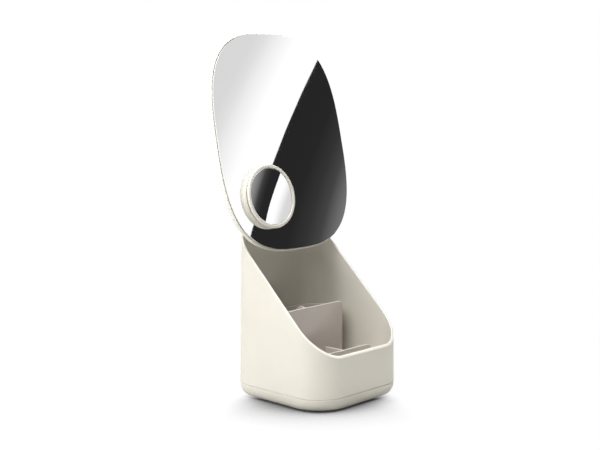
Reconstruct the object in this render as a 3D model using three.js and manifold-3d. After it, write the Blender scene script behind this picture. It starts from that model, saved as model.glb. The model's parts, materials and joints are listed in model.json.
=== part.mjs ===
import * as THREE from 'three';
import { mergeVertices } from 'three/addons/utils/BufferGeometryUtils.js';
import Module from 'manifold-3d';

// Tabletop mirror: an oval mirror that tilts on a friction hinge above an open storage pot,
// with a lift-off magnifying mirror and a lift-out organiser. Millimetres, +Z up, front towards -Y.
// The origin is the middle of the flat pad that it stands on.

const wasm = await Module();
wasm.setup();

// Clearances
const seatGap = 0.3; // between pieces that touch on the real object
const slideGap = 0.3; // left around the organiser where it has lifted by its travel
const liftTravel = 50; // the organiser's travel straight up
const past = 1; // how far a cutting tool runs past what it cuts
const sink = 0.5; // how far a joined feature is rooted in its wall

// Container: a rounded square pot whose mouth is cut by one sloping plane
const potHalf = 66.5; // half the width, and half the depth, at the seam
const potCorner = 33; // corner radius of the plan at the seam
const potDraft = 0.015; // inward lean of each wall per millimetre of height
const potWall = 2.2;
const rimFront = 53; // height of the front lip
const rimBack = 178; // height of the back edge
const floorThick = 2.2;
const floorUnder = 17; // underside of the floor above the table

// Base cover under the seam, with the soft round edge at the table
const seamHeight = 13;
const coverLift = 1; // the cover clears the table by this
const coverInset = 4.4; // how far the bottom edge rounds in
const coverWall = 3.2;
const coverThick = 2.6;
const spigotWall = 1.8; // lip of the cover that locates the pot
const spigotRise = 3.6; // its height above the seam
const padHalf = 40; // non-slip pad
const padCorner = 12;
const padThick = 1.8;
const ballastHalf = 55; // steel weight
const ballastChamfer = 28;
const ballastThick = 6;

// Screws that hold the base cover to the pot
const baseScrewPitch = 92;
const baseScrewShank = 1.5;
const baseScrewHead = 3.2;
const baseScrewHeadThick = 1.8;
const baseScrewLength = 12;
const bossRadius = 4.6;
const postRise = 2.9; // height of the cover's screw posts
const headSink = 2.5; // depth of each counterbore

// Organiser
const trayThick = 2;
const trayWall = 2;
const lowWallY = -21; // cross wall behind the front tray
const lowWallTop = 44.6;
const lowWallCorner = 9;
const dividerX = 17.8;
const tallFrontY = 4.2; // front face of the tall compartment
const tallTop = 90.3; // front panel of the tall compartment
const tallBackTop = 79.3; // its side and back walls
const tallSlopeStart = 5.2; // the side walls fall from the panel over this stretch of Y
const tallSlopeEnd = 16;
const tallRight = 62; // right-hand face of the tall compartment, along the pot's wall
const tallBack = 61; // its back face
const tallCorner = 28;
const partitionX = -1.6;
const partitionTop = 78;
const tabY = 21; // finger tab on the partition
const tabRadius = 9;
const tabTop = 88.4;

// Mirror: a superellipse outline, slightly wider below the middle
const mirrorHalfWidth = 93.1;
const mirrorHalfHeight = 115.2;
const mirrorSquareness = 2.96; // exponent of the outline; 2 would be an ellipse
const mirrorTaper = 0.01; // share by which the top is narrower than the middle
const mirrorForward = 6; // middle of the glass face in front of the hinge axis
const mirrorRise = 71; // and above it
const mirrorTilt = 12.27; // degrees back from upright
const glassThick = 3;
const lipWidth = 1.3; // cream edge seen round the glass
const lipProud = 0.4; // the edge stands this far in front of the glass
const housingEdge = 5.6; // depth of the housing at its edge
const housingDepth = 10.6; // depth at its middle
const domeFlat = 30; // half-width of the flat in the middle of its back
const housingWall = 2.2;
const tapeThick = 0.8;
const tapeWidth = 7;
const ledgeWidth = 9; // seat for the glass round the edge

// Hinge between pot and mirror, its axis along X
const hingeInset = 11.5; // in from the back of the pot at the seam
const hingeRise = 12; // above the pot's back edge
const knuckleRadius = 6.2;
const knuckleHalf = 8; // half the length of the mirror's knuckle
const washerThick = 0.8;
const washerRadius = 5.4;
const earThick = 6;
const pinRadius = 2.5;
const pinHeadRadius = 4.6;
const pinHeadThick = 2.4;
const nutRadius = 4.8;
const nutThick = 3.4;
const legHalf = 22; // bracket leg on the back wall
const legThick = 4;
const legHeight = 20; // from the pot's back edge down
const wallPadThick = 3; // thickening of the back wall behind the leg
const wallPadMargin = 3;
const blindSkin = 1; // wall left beyond the leg's screw holes
const earRootDrop = 5; // the ears leave the leg this far below its top
const blockHalf = 22; // hinge block on the mirror's back
const blockRise = 15; // half its height
const blockThick = 2.7;
const seatMargin = 3; // the raised seat under the block is wider by this
const seatProud = 0.2; // and stands behind the housing by this

// Small screws of the hinge
const hingeScrewShank = 1.3;
const hingeScrewHead = 2.8;
const hingeScrewHeadThick = 1.7;
const hingeScrewLength = 6.6;
const legScrewX = 15.5;
const legScrewRise = 5; // above the foot of the leg
const blockScrewX = 17;
const blockScrewY = 10;
const socketShare = 0.5; // width of a screw's hexagon socket against its head
const socketDepth = 1;

// Magnifier on the lower left of the glass
const lensInset = 49.7; // its middle from the glass's left edge
const lensRise = 57.1; // and above the glass's lower edge
const lensX = lensInset - mirrorHalfWidth;
const lensY = lensRise - mirrorHalfHeight;
const feltThick = 0.6;
const feltRadius = 29;
const cupRadius = 32.4;
const cupTop = 12; // above the mirror glass
const cupFloor = 1.4;
const cupWall = 2.2;
const cupFillet = 1.6;
const lensRingRadius = 32.8;
const lensRingUnder = 12.7;
const lensRingTop = 15.3;
const lensRingLip = 3.7; // width of the front edge
const lensRingRound = 1.1;
const lensLedge = 2.2;
const lensSkirtDrop = 3.6;
const lensSeatDepth = 2.2;
const lensEdgeThick = 1.6;
const lensCurveRadius = 500; // concave face
const magnetRadius = 14;
const magnetThick = 3;
const keeperRadius = 22;
const keeperThick = 1;
const magnetLocator = 1.4; // wall of the ring that holds the magnet

// Facets
const cornerSteps = 7;
const outlineSteps = 72;
const roundSteps = 40;
const smallSteps = 14;
const coverSteps = 5;
const domeSteps = 5;
const lensSteps = 5;

// Materials
const finish = (color, roughness, metalness) =>
  new THREE.MeshStandardMaterial({ color, roughness, metalness });
const creamPlastic = finish(0xe9e5d9, 0.42, 0);
const taupePlastic = finish(0xa99c93, 0.5, 0);
const silverGlass = finish(0xe8eaea, 0.03, 1);
const blackRubber = finish(0x55524d, 0.85, 0);
const rawSteel = finish(0x8d8f92, 0.45, 1);
const zincSteel = finish(0xb8babd, 0.32, 1);
const greyFoam = finish(0x6e6e6c, 0.95, 0);
const darkPolymer = finish(0x3d3d3f, 0.5, 0);
const greyFelt = finish(0x8a8680, 0.98, 0);
const magnetPlate = finish(0xa4a6a8, 0.3, 1);

// Solids and geometries
function toSolid(geometry) {
  const bare = geometry.clone();
  bare.deleteAttribute('normal');
  bare.deleteAttribute('uv');
  const merged = mergeVertices(bare, 1e-4);
  const mesh = new wasm.Mesh({
    numProp: 3,
    vertProperties: new Float32Array(merged.attributes.position.array),
    triVerts: new Uint32Array(merged.index.array),
  });
  return new wasm.Manifold(mesh);
}

function toGeometry(solid) {
  const mesh = solid.getMesh();
  const geometry = new THREE.BufferGeometry();
  geometry.setAttribute('position', new THREE.BufferAttribute(mesh.vertProperties, 3));
  geometry.setIndex(new THREE.BufferAttribute(mesh.triVerts, 1));
  geometry.computeVertexNormals();
  return geometry;
}

function join(first, ...others) {
  return toGeometry(others.reduce((sum, other) => sum.add(toSolid(other)), toSolid(first)));
}

function cut(first, ...others) {
  return toGeometry(others.reduce((rest, other) => rest.subtract(toSolid(other)), toSolid(first)));
}

function overlapOf(first, second) {
  return toGeometry(toSolid(first).intersect(toSolid(second)));
}

// A box between two corners
function block(x0, x1, y0, y1, z0, z1) {
  const box = new THREE.BoxGeometry(x1 - x0, y1 - y0, z1 - z0);
  return box.translate((x0 + x1) / 2, (y0 + y1) / 2, (z0 + z1) / 2);
}

// A closed profile of [radius, height] points turned about +Z
function turned(profile, steps) {
  const points = profile.map(([radius, height]) => new THREE.Vector2(radius, height));
  const solid = new THREE.LatheGeometry(points, steps);
  return solid.rotateX(Math.PI / 2);
}

function rod(radius, z0, z1, steps = smallSteps) {
  return turned([[0, z0], [radius, z0], [radius, z1], [0, z1]], steps);
}

function ring(outer, inner, z0, z1, steps) {
  return turned([[inner, z0], [outer, z0], [outer, z1], [inner, z1], [inner, z0]], steps);
}

// A flat outline given a height range
function slab(shape, z0, z1) {
  const solid = new THREE.ExtrudeGeometry(shape, {
    depth: z1 - z0,
    bevelEnabled: false,
    curveSegments: cornerSteps,
  });
  return solid.translate(0, 0, z0);
}

// A side outline drawn in Y and Z, given a range along X
function sideSlab(shape, x0, x1) {
  const sideways = new THREE.Matrix4().makeBasis(
    new THREE.Vector3(0, 1, 0),
    new THREE.Vector3(0, 0, 1),
    new THREE.Vector3(1, 0, 0),
  );
  return slab(shape, x0, x1).applyMatrix4(sideways);
}

// A front outline drawn in X and Z, given a range along Y
function frontSlab(shape, y0, y1) {
  return slab(shape, -y1, -y0).rotateX(Math.PI / 2);
}

// Lays a turned piece along X, its base at x
function alongX(geometry, x, y, z) {
  return geometry.rotateY(Math.PI / 2).translate(x, y, z);
}

// Lays a turned piece along +Y, its base at y
function alongY(geometry, x, y, z) {
  return geometry.rotateX(-Math.PI / 2).translate(x, y, z);
}

// A solid skinned over level rings that have the same number of points
function loft(rings) {
  const count = rings[0].points.length;
  const positions = rings.flatMap(({ points, z }) => points.flatMap(([x, y]) => [x, y, z]));
  const index = [];
  for (let level = 0; level + 1 < rings.length; level += 1) {
    for (let i = 0; i < count; i += 1) {
      const a = level * count + i;
      const b = level * count + ((i + 1) % count);
      index.push(a, b, b + count, a, b + count, a + count);
    }
  }
  const bottom = positions.length / 3;
  const top = bottom + 1;
  const last = (rings.length - 1) * count;
  positions.push(0, 0, rings[0].z, 0, 0, rings[rings.length - 1].z);
  for (let i = 0; i < count; i += 1) {
    const next = (i + 1) % count;
    index.push(bottom, next, i, top, last + i, last + next);
  }
  const geometry = new THREE.BufferGeometry();
  geometry.setAttribute('position', new THREE.Float32BufferAttribute(positions, 3));
  geometry.setIndex(index);
  return geometry;
}

// Plan outlines
function roundedSquare(half, radius) {
  const points = [];
  const reach = half - radius;
  for (let corner = 0; corner < 4; corner += 1) {
    const start = (corner * Math.PI) / 2;
    const x = reach * Math.sign(Math.cos(start + Math.PI / 4));
    const y = reach * Math.sign(Math.sin(start + Math.PI / 4));
    for (let i = 0; i <= cornerSteps; i += 1) {
      const angle = start + (i / cornerSteps) * (Math.PI / 2);
      points.push([x + radius * Math.cos(angle), y + radius * Math.sin(angle)]);
    }
  }
  return points;
}

function shapeOf(points) {
  return new THREE.Shape(points.map(([x, y]) => new THREE.Vector2(x, y)));
}

// The mirror's outline, drawn in by a margin all round
function mirrorOutline(margin) {
  const halfWidth = mirrorHalfWidth - margin;
  const halfHeight = mirrorHalfHeight - margin;
  const points = [];
  for (let i = 0; i < outlineSteps; i += 1) {
    const angle = (i / outlineSteps) * Math.PI * 2;
    const across = Math.abs(Math.cos(angle) / halfWidth) ** mirrorSquareness;
    const along = Math.abs(Math.sin(angle) / halfHeight) ** mirrorSquareness;
    const reach = (across + along) ** (-1 / mirrorSquareness);
    const y = reach * Math.sin(angle);
    const x = reach * Math.cos(angle) * (1 - (mirrorTaper * y) / halfHeight);
    points.push([x, y]);
  }
  return points;
}

// Container
const potHalfAt = (z) => potHalf - potDraft * (z - seamHeight);
const potCornerAt = (z) => potCorner - potDraft * (z - seamHeight);
const rimSlope = (rimBack - rimFront) / (2 * potHalf);
const floorTop = floorUnder + floorThick;
const seamGap = seatGap / 2; // each side of the seam
const legTop = rimBack;
const legBottom = legTop - legHeight;
const legScrewZ = legBottom + legScrewRise;
const wallPadFace = potHalfAt(legBottom) - potWall - wallPadThick;
const legBack = wallPadFace - seatGap;
const legFront = legBack - legThick;
const legScrewDepth = potWall + wallPadThick - blindSkin;

// The pot's plan between two heights, drawn in by a margin
function potSolid(margin, z0, z1) {
  return loft([z0, z1].map((z) => ({
    z,
    points: roundedSquare(potHalfAt(z) - margin, potCornerAt(z) - margin),
  })));
}

// Everything above the sloping mouth
function aboveRim() {
  const reach = potHalf + past;
  const low = rimFront - rimSlope * past;
  const high = rimBack + rimSlope * past;
  const sky = rimBack * 2;
  return sideSlab(shapeOf([[-reach, low], [reach, high], [reach, sky], [-reach, sky]]), -reach, reach);
}

function baseScrewPlaces() {
  const reach = baseScrewPitch / 2;
  return [[-reach, -reach], [reach, -reach], [reach, reach], [-reach, reach]];
}

const postTop = coverLift + coverThick + postRise;
const baseScrewUnder = coverLift + headSink - baseScrewHeadThick - seatGap;
const baseScrewTip = baseScrewUnder + baseScrewHeadThick + baseScrewLength;

function containerShell() {
  const outer = potSolid(0, seamHeight + seamGap, rimBack + past);
  const inside = potSolid(potWall, floorTop, rimBack + 2 * past);
  const below = potSolid(potWall, seamHeight - past, floorUnder);
  const wallPad = block(
    -legHalf - wallPadMargin, legHalf + wallPadMargin,
    wallPadFace, potHalfAt(rimBack) - potWall + sink,
    legBottom - wallPadMargin, rimBack,
  );
  const bosses = baseScrewPlaces().map(([x, y]) =>
    rod(bossRadius, postTop + seatGap, floorUnder + sink).translate(x, y, 0));
  const pilots = baseScrewPlaces().map(([x, y]) =>
    rod(baseScrewShank + seatGap, 0, baseScrewTip + seatGap).translate(x, y, 0));
  const legPilots = [-legScrewX, legScrewX].map((x) =>
    alongY(rod(hingeScrewShank + seatGap, 0, past + legScrewDepth), x, wallPadFace - past, legScrewZ));
  const body = join(cut(outer, inside, below), wallPad, ...bosses);
  return cut(body, aboveRim(), ...pilots, ...legPilots);
}

// Base cover: its side follows a quarter ellipse from the seam down to the bottom edge
function coverHalfAt(z) {
  const drop = (seamHeight - z) / (seamHeight - coverLift);
  return potHalf - coverInset * (1 - Math.sqrt(1 - drop * drop));
}

function coverSolid(margin, z0, z1) {
  const rings = [];
  for (let i = 0; i <= coverSteps; i += 1) {
    const z = z1 - (z1 - z0) * Math.cos(((i / coverSteps) * Math.PI) / 2);
    rings.push({ z, points: roundedSquare(coverHalfAt(z) - margin, potCorner - margin) });
  }
  return loft(rings);
}

const padRecess = padThick + seatGap - coverLift;

function baseCover() {
  const outer = coverSolid(0, coverLift, seamHeight - seamGap);
  const inside = coverSolid(coverWall, coverLift + coverThick, seamHeight);
  const spigotMargin = potWall + seatGap;
  const spigotTop = seamHeight + spigotRise;
  const spigotRoot = seamHeight - spigotRise;
  const spigot = cut(
    potSolid(spigotMargin, spigotRoot, spigotTop),
    potSolid(spigotMargin + spigotWall, spigotRoot - past, spigotTop + past),
  );
  const posts = baseScrewPlaces().map(([x, y]) =>
    rod(bossRadius, coverLift + coverThick - sink, postTop).translate(x, y, 0));
  const holes = baseScrewPlaces().map(([x, y]) =>
    join(
      rod(baseScrewShank + seatGap, 0, postTop + past),
      rod(baseScrewHead + seatGap, 0, coverLift + headSink),
    ).translate(x, y, 0));
  const recessHalf = padHalf + seatGap;
  const recessPlan = shapeOf(roundedSquare(recessHalf, padCorner + seatGap));
  const recess = slab(recessPlan, coverLift - past, coverLift + padRecess);
  return cut(join(cut(outer, inside), spigot, ...posts), recess, ...holes);
}

function basePad() {
  return slab(shapeOf(roundedSquare(padHalf, padCorner)), 0, padThick);
}

function ballastPlate() {
  const far = ballastHalf;
  const near = ballastHalf - ballastChamfer;
  const corners = [
    [far, -near], [far, near], [near, far], [-near, far],
    [-far, near], [-far, -near], [-near, -far], [near, -far],
  ];
  const under = coverLift + coverThick + seatGap;
  return slab(shapeOf(corners), under, under + ballastThick);
}

// A cap screw standing on its head, tip up, with a hexagon socket underneath
function capScrew(shank, head, headThick, length) {
  const body = turned(
    [[0, 0], [head, 0], [head, headThick], [shank, headThick], [shank, headThick + length - shank],
      [0, headThick + length]],
    smallSteps,
  );
  return cut(body, rod(head * socketShare, -past, socketDepth, 6));
}

const baseScrew = () =>
  capScrew(baseScrewShank, baseScrewHead, baseScrewHeadThick, baseScrewLength);
const hingeScrew = () =>
  capScrew(hingeScrewShank, hingeScrewHead, hingeScrewHeadThick, hingeScrewLength);

// Organiser
const trayUnder = floorTop + seatGap;
const trayTop = trayUnder + trayThick;
const insideMargin = potWall + slideGap + potDraft * liftTravel;

// Space inside the pot that the organiser may fill, drawn in by a further margin
function insideSpace(margin) {
  return potSolid(insideMargin + margin, trayUnder, rimBack);
}

// Plan of the tall compartment, open-ended to the left, drawn in by a wall
function tallPlan(wall) {
  const right = tallRight - wall;
  const front = tallFrontY + wall;
  const back = tallBack - wall;
  const radius = tallCorner - wall;
  const shape = new THREE.Shape();
  shape.moveTo(-potHalf, front);
  shape.lineTo(right - radius, front);
  shape.absarc(right - radius, front + radius, radius, -Math.PI / 2, 0, false);
  shape.absarc(right - radius, back - radius, radius, 0, Math.PI / 2, false);
  shape.lineTo(-potHalf, back);
  shape.closePath();
  return shape;
}

// Everything above the tall compartment's walls behind its front panel
function aboveTallWalls() {
  const shape = shapeOf([
    [tallSlopeStart, tallTop], [tallSlopeEnd, tallBackTop], [potHalf, tallBackTop],
    [potHalf, tallTop + past], [tallSlopeStart, tallTop + past],
  ]);
  return sideSlab(shape, -potHalf, potHalf);
}

function tallCompartment() {
  const outer = overlapOf(slab(tallPlan(0), trayTop - sink, tallTop), insideSpace(0));
  const inner = overlapOf(slab(tallPlan(trayWall), trayTop, tallTop + past), insideSpace(trayWall));
  return cut(outer, inner, aboveTallWalls());
}

// The front wall of the low part, with rounded top corners
function lowWall() {
  const reach = potHalfAt(lowWallTop) - insideMargin;
  const shape = new THREE.Shape();
  shape.moveTo(-potHalf, trayTop - sink);
  shape.lineTo(potHalf, trayTop - sink);
  shape.lineTo(potHalf, lowWallTop - lowWallCorner);
  shape.lineTo(reach, lowWallTop - lowWallCorner);
  shape.absarc(reach - lowWallCorner, lowWallTop - lowWallCorner, lowWallCorner, 0, Math.PI / 2, false);
  shape.absarc(lowWallCorner - reach, lowWallTop - lowWallCorner, lowWallCorner, Math.PI / 2, Math.PI, false);
  shape.lineTo(-potHalf, lowWallTop - lowWallCorner);
  shape.closePath();
  return frontSlab(shape, lowWallY - trayWall / 2, lowWallY + trayWall / 2);
}

function partition() {
  const side = trayWall / 2;
  const wall = block(
    partitionX - side, partitionX + side, tallFrontY + sink, tallBack - sink,
    trayTop - sink, partitionTop,
  );
  const tab = alongX(rod(tabRadius, -side, side, roundSteps), partitionX, tabY, tabTop - tabRadius);
  return join(wall, tab);
}

function organiser() {
  const floor = potSolid(insideMargin, trayUnder, trayTop);
  const divider = block(
    dividerX - trayWall / 2, dividerX + trayWall / 2, lowWallY, tallFrontY + sink,
    trayTop - sink, lowWallTop,
  );
  const walls = join(lowWall(), divider, partition());
  return join(floor, tallCompartment(), overlapOf(walls, insideSpace(0)));
}

// Mirror, in its own frame: X across, Y up the glass, Z out of the glass face
const hingeY = potHalf - hingeInset;
const hingeZ = rimBack + hingeRise;
const mirrorY = hingeY - mirrorForward;
const mirrorZ = hingeZ + mirrorRise;
const ledgeDepth = glassThick + 2 * seatGap + tapeThick;
const leanBack = THREE.MathUtils.degToRad(mirrorTilt);

// Where a world point above the middle plane lies in the mirror's frame
function inMirrorFrame(y, z) {
  const dy = y - mirrorY;
  const dz = z - mirrorZ;
  return {
    up: dy * Math.sin(leanBack) + dz * Math.cos(leanBack),
    out: -dy * Math.cos(leanBack) + dz * Math.sin(leanBack),
  };
}

const hinge = inMirrorFrame(hingeY, hingeZ);
const seatBack = -housingDepth - seatProud;
const blockFront = seatBack - seatGap;
const blockBack = blockFront - blockThick;

// The rounded back of the housing: rings that draw in as they go back
function domeSolid(margin, front, edge, depth) {
  const rings = [];
  for (let i = domeSteps; i >= 1; i -= 1) {
    const angle = (i / domeSteps) * (Math.PI / 2);
    const shareIn = 1 - Math.cos(angle);
    const z = -edge - (depth - edge) * Math.sin(angle);
    rings.push({ z, points: mirrorOutline(margin + shareIn * (mirrorHalfWidth - domeFlat)) });
  }
  rings.push({ z: -edge, points: mirrorOutline(margin) });
  rings.push({ z: front, points: mirrorOutline(margin) });
  return loft(rings);
}

function blockScrewPlaces() {
  const places = [];
  for (const x of [-blockScrewX, blockScrewX]) {
    for (const rise of [-blockScrewY, blockScrewY]) {
      places.push([x, hinge.up + rise]);
    }
  }
  return places;
}

const blockScrewTip = blockBack + hingeScrewLength;

function mirrorHousing() {
  const outer = domeSolid(0, lipProud, housingEdge, housingDepth);
  const seat = block(
    -blockHalf - seatMargin, blockHalf + seatMargin,
    hinge.up - blockRise - seatMargin, hinge.up + blockRise + seatMargin,
    seatBack, -ledgeDepth - sink,
  );
  const recess = slab(shapeOf(mirrorOutline(lipWidth)), -ledgeDepth, lipProud + past);
  const hollow = domeSolid(ledgeWidth, lipProud + past, ledgeDepth, housingDepth - housingWall);
  const pilots = blockScrewPlaces().map(([x, y]) =>
    rod(hingeScrewShank + seatGap, seatBack - past, blockScrewTip + seatGap).translate(x, y, 0));
  return cut(join(cut(outer, recess, hollow), seat), ...pilots);
}

function mirrorGlass() {
  return slab(shapeOf(mirrorOutline(lipWidth + seatGap)), -glassThick, 0);
}

// Foam tape between the glass and its ledge
function mirrorTape() {
  const front = -glassThick - seatGap;
  const outer = slab(shapeOf(mirrorOutline(lipWidth + 2 * seatGap)), front - tapeThick, front);
  const window = mirrorOutline(lipWidth + 2 * seatGap + tapeWidth);
  return cut(outer, slab(shapeOf(window), front - tapeThick - past, front + past));
}

function keeperPlate() {
  const front = -glassThick - seatGap;
  return rod(keeperRadius, front - keeperThick, front, roundSteps).translate(lensX, lensY, 0);
}

// Mirror half of the hinge: a plate on the housing and one knuckle behind it
function hingeBlock() {
  const plate = block(
    -blockHalf, blockHalf, hinge.up - blockRise, hinge.up + blockRise, blockBack, blockFront,
  );
  const side = new THREE.Shape();
  side.moveTo(hinge.up - knuckleRadius, blockBack + sink);
  side.lineTo(hinge.up - knuckleRadius, hinge.out);
  side.absarc(hinge.up, hinge.out, knuckleRadius, Math.PI, 2 * Math.PI, false);
  side.lineTo(hinge.up + knuckleRadius, blockBack + sink);
  side.closePath();
  const knuckle = sideSlab(side, -knuckleHalf, knuckleHalf);
  const bore = alongX(
    rod(pinRadius + seatGap, 0, 2 * (knuckleHalf + past)), -knuckleHalf - past, hinge.up, hinge.out,
  );
  const holes = blockScrewPlaces().map(([x, y]) =>
    rod(hingeScrewShank + seatGap, blockBack - past, blockFront + past).translate(x, y, 0));
  return cut(join(plate, knuckle), bore, ...holes);
}

// Fixed half of the hinge: a leg on the back wall and two ears
const earNear = knuckleHalf + washerThick + 2 * seatGap;
const earFar = earNear + earThick;

function hingeBracket() {
  const leg = block(-legHalf, legHalf, legFront, legBack, legBottom, legTop);
  const side = new THREE.Shape();
  side.moveTo(legFront, legTop - earRootDrop);
  side.lineTo(legBack, legTop - earRootDrop);
  side.lineTo(hingeY + knuckleRadius, hingeZ);
  side.absarc(hingeY, hingeZ, knuckleRadius, 0, Math.PI, false);
  side.closePath();
  const ears = [[-earFar, -earNear], [earNear, earFar]].map(([x0, x1]) => sideSlab(side, x0, x1));
  const bore = alongX(
    rod(pinRadius + seatGap, 0, 2 * (earFar + past)), -earFar - past, hingeY, hingeZ,
  );
  const holes = [-legScrewX, legScrewX].map((x) =>
    alongY(rod(hingeScrewShank + seatGap, 0, legThick + 2 * past), x, legFront - past, legScrewZ));
  return cut(join(leg, ...ears), bore, ...holes);
}

const pinHeadFace = earFar + seatGap;
const nutFar = pinHeadFace + nutThick;

function hingePin() {
  const length = nutFar + past + pinHeadFace;
  const pin = turned([
    [0, -pinHeadThick], [pinHeadRadius, -pinHeadThick], [pinHeadRadius, 0], [pinRadius, 0],
    [pinRadius, length], [0, length],
  ], smallSteps);
  return alongX(pin, -pinHeadFace, hingeY, hingeZ);
}

function hingeNut() {
  const nut = cut(
    rod(nutRadius, 0, nutThick, 6),
    rod(pinRadius + seatGap, -past, nutThick + past),
  );
  return alongX(nut, pinHeadFace, hingeY, hingeZ);
}

function frictionWasher(side) {
  const near = knuckleHalf + seatGap;
  const from = side < 0 ? -near - washerThick : near;
  const washer = ring(washerRadius, pinRadius + seatGap, 0, washerThick, roundSteps / 2);
  return alongX(washer, from, hingeY, hingeZ);
}

// Magnifier, on the mirror's frame with its axis out of the glass
const cupUnder = feltThick + 2 * seatGap;
const lensSkirtRadius = cupRadius - cupWall - seatGap;
const lensSeatRadius = lensRingRadius - lensRingLip;
const magnetUnder = cupUnder + cupFloor + seatGap;

function magnifierFelt() {
  return rod(feltRadius, seatGap, seatGap + feltThick, roundSteps);
}

function magnifierCup() {
  const inner = cupRadius - cupWall;
  const holder = magnetRadius + seatGap;
  const holderTop = magnetUnder + magnetThick / 2;
  const floorFace = cupUnder + cupFloor;
  return turned([
    [0, cupUnder], [cupRadius - cupFillet, cupUnder], [cupRadius, cupUnder + cupFillet],
    [cupRadius, cupTop], [inner, cupTop], [inner, floorFace],
    [holder + magnetLocator, floorFace], [holder + magnetLocator, holderTop],
    [holder, holderTop], [holder, floorFace], [0, floorFace],
  ], roundSteps);
}

function magnifierRing() {
  const seatFace = lensRingTop - lensSeatDepth;
  const hole = lensSeatRadius - lensLedge;
  return turned([
    [hole, lensRingUnder - lensSkirtDrop], [lensSkirtRadius, lensRingUnder - lensSkirtDrop],
    [lensSkirtRadius, lensRingUnder], [lensRingRadius, lensRingUnder],
    [lensRingRadius, lensRingTop - lensRingRound], [lensRingRadius - lensRingRound, lensRingTop],
    [lensSeatRadius, lensRingTop], [lensSeatRadius, seatFace], [hole, seatFace],
    [hole, lensRingUnder - lensSkirtDrop],
  ], roundSteps);
}

// Glass with a hollow face, thinnest in the middle
function magnifierGlass() {
  const radius = lensSeatRadius - seatGap;
  const back = lensRingTop - lensSeatDepth + seatGap;
  const edge = back + lensEdgeThick;
  const sagAt = (r) => (radius * radius - r * r) / (2 * lensCurveRadius);
  const profile = [[0, back], [radius, back]];
  for (let i = lensSteps; i >= 0; i -= 1) {
    const r = (radius * i) / lensSteps;
    profile.push([r, edge - sagAt(r)]);
  }
  return turned(profile, roundSteps);
}

function magnifierMagnet() {
  return rod(magnetRadius, magnetUnder, magnetUnder + magnetThick, roundSteps);
}

// Assembly
const mirrorFrame = new THREE.Group();
mirrorFrame.position.set(0, mirrorY, mirrorZ);
mirrorFrame.rotation.x = Math.PI / 2 - leanBack;

const lensFrame = new THREE.Group();
lensFrame.position.set(lensX, lensY, 0);
mirrorFrame.add(lensFrame);

const group = new THREE.Group();
group.add(mirrorFrame);

function addPiece(parent, name, geometry, material) {
  const mesh = new THREE.Mesh(geometry, material);
  mesh.name = name;
  parent.add(mesh);
  return mesh;
}

addPiece(group, 'container_shell', containerShell(), creamPlastic);
addPiece(group, 'base_cover', baseCover(), creamPlastic);
addPiece(group, 'base_pad', basePad(), blackRubber);
addPiece(group, 'ballast_plate', ballastPlate(), rawSteel);
baseScrewPlaces().forEach(([x, y], i) => {
  addPiece(group, `base_screw_${i + 1}`, baseScrew(), zincSteel).position.set(x, y, baseScrewUnder);
});

addPiece(group, 'organiser', organiser(), taupePlastic);

addPiece(group, 'hinge_bracket', hingeBracket(), creamPlastic);
[-legScrewX, legScrewX].forEach((x, i) => {
  const headY = legFront - seatGap - hingeScrewHeadThick;
  addPiece(group, `bracket_screw_${i + 1}`, alongY(hingeScrew(), x, headY, legScrewZ), zincSteel);
});
addPiece(group, 'hinge_pin', hingePin(), zincSteel);
addPiece(group, 'hinge_nut', hingeNut(), zincSteel);
addPiece(group, 'friction_washer_left', frictionWasher(-1), darkPolymer);
addPiece(group, 'friction_washer_right', frictionWasher(1), darkPolymer);

addPiece(mirrorFrame, 'mirror_housing', mirrorHousing(), creamPlastic);
addPiece(mirrorFrame, 'mirror_tape', mirrorTape(), greyFoam);
addPiece(mirrorFrame, 'mirror_glass', mirrorGlass(), silverGlass);
addPiece(mirrorFrame, 'keeper_plate', keeperPlate(), rawSteel);
addPiece(mirrorFrame, 'hinge_block', hingeBlock(), creamPlastic);
blockScrewPlaces().forEach(([x, y], i) => {
  const screw = addPiece(mirrorFrame, `block_screw_${i + 1}`, hingeScrew(), zincSteel);
  screw.position.set(x, y, blockBack - seatGap - hingeScrewHeadThick);
});

addPiece(lensFrame, 'magnifier_felt', magnifierFelt(), greyFelt);
addPiece(lensFrame, 'magnifier_cup', magnifierCup(), creamPlastic);
addPiece(lensFrame, 'magnifier_magnet', magnifierMagnet(), magnetPlate);
addPiece(lensFrame, 'magnifier_ring', magnifierRing(), creamPlastic);
addPiece(lensFrame, 'magnifier_glass', magnifierGlass(), silverGlass);

export default group;
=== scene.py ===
import json
from math import asin, copysign, cos, pi, radians, sin, sqrt, tan

import bmesh
import bpy
from mathutils import Matrix, Vector


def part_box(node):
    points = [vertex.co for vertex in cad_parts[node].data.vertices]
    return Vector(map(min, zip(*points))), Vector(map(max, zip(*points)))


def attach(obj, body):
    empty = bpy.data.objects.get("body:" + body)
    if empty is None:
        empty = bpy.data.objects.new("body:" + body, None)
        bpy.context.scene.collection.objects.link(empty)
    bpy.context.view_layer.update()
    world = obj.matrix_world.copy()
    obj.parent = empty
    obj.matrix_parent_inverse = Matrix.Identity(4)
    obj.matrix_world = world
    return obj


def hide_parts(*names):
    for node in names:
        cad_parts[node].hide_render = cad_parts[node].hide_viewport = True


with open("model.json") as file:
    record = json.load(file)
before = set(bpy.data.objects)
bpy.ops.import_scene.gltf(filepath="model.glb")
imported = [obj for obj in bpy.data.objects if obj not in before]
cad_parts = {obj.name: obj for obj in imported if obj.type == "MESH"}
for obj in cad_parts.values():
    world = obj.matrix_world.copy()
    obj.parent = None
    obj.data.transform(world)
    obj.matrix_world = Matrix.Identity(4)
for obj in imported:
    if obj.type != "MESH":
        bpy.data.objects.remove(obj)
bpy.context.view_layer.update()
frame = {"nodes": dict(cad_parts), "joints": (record.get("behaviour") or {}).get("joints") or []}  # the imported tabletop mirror, metres, +Z up, front towards -Y
mm = 0.001
quarterTurn = pi / 2
smoothAngle = radians(32)  # edges sharper than this keep a crease
weldReach = 1e-6
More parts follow.
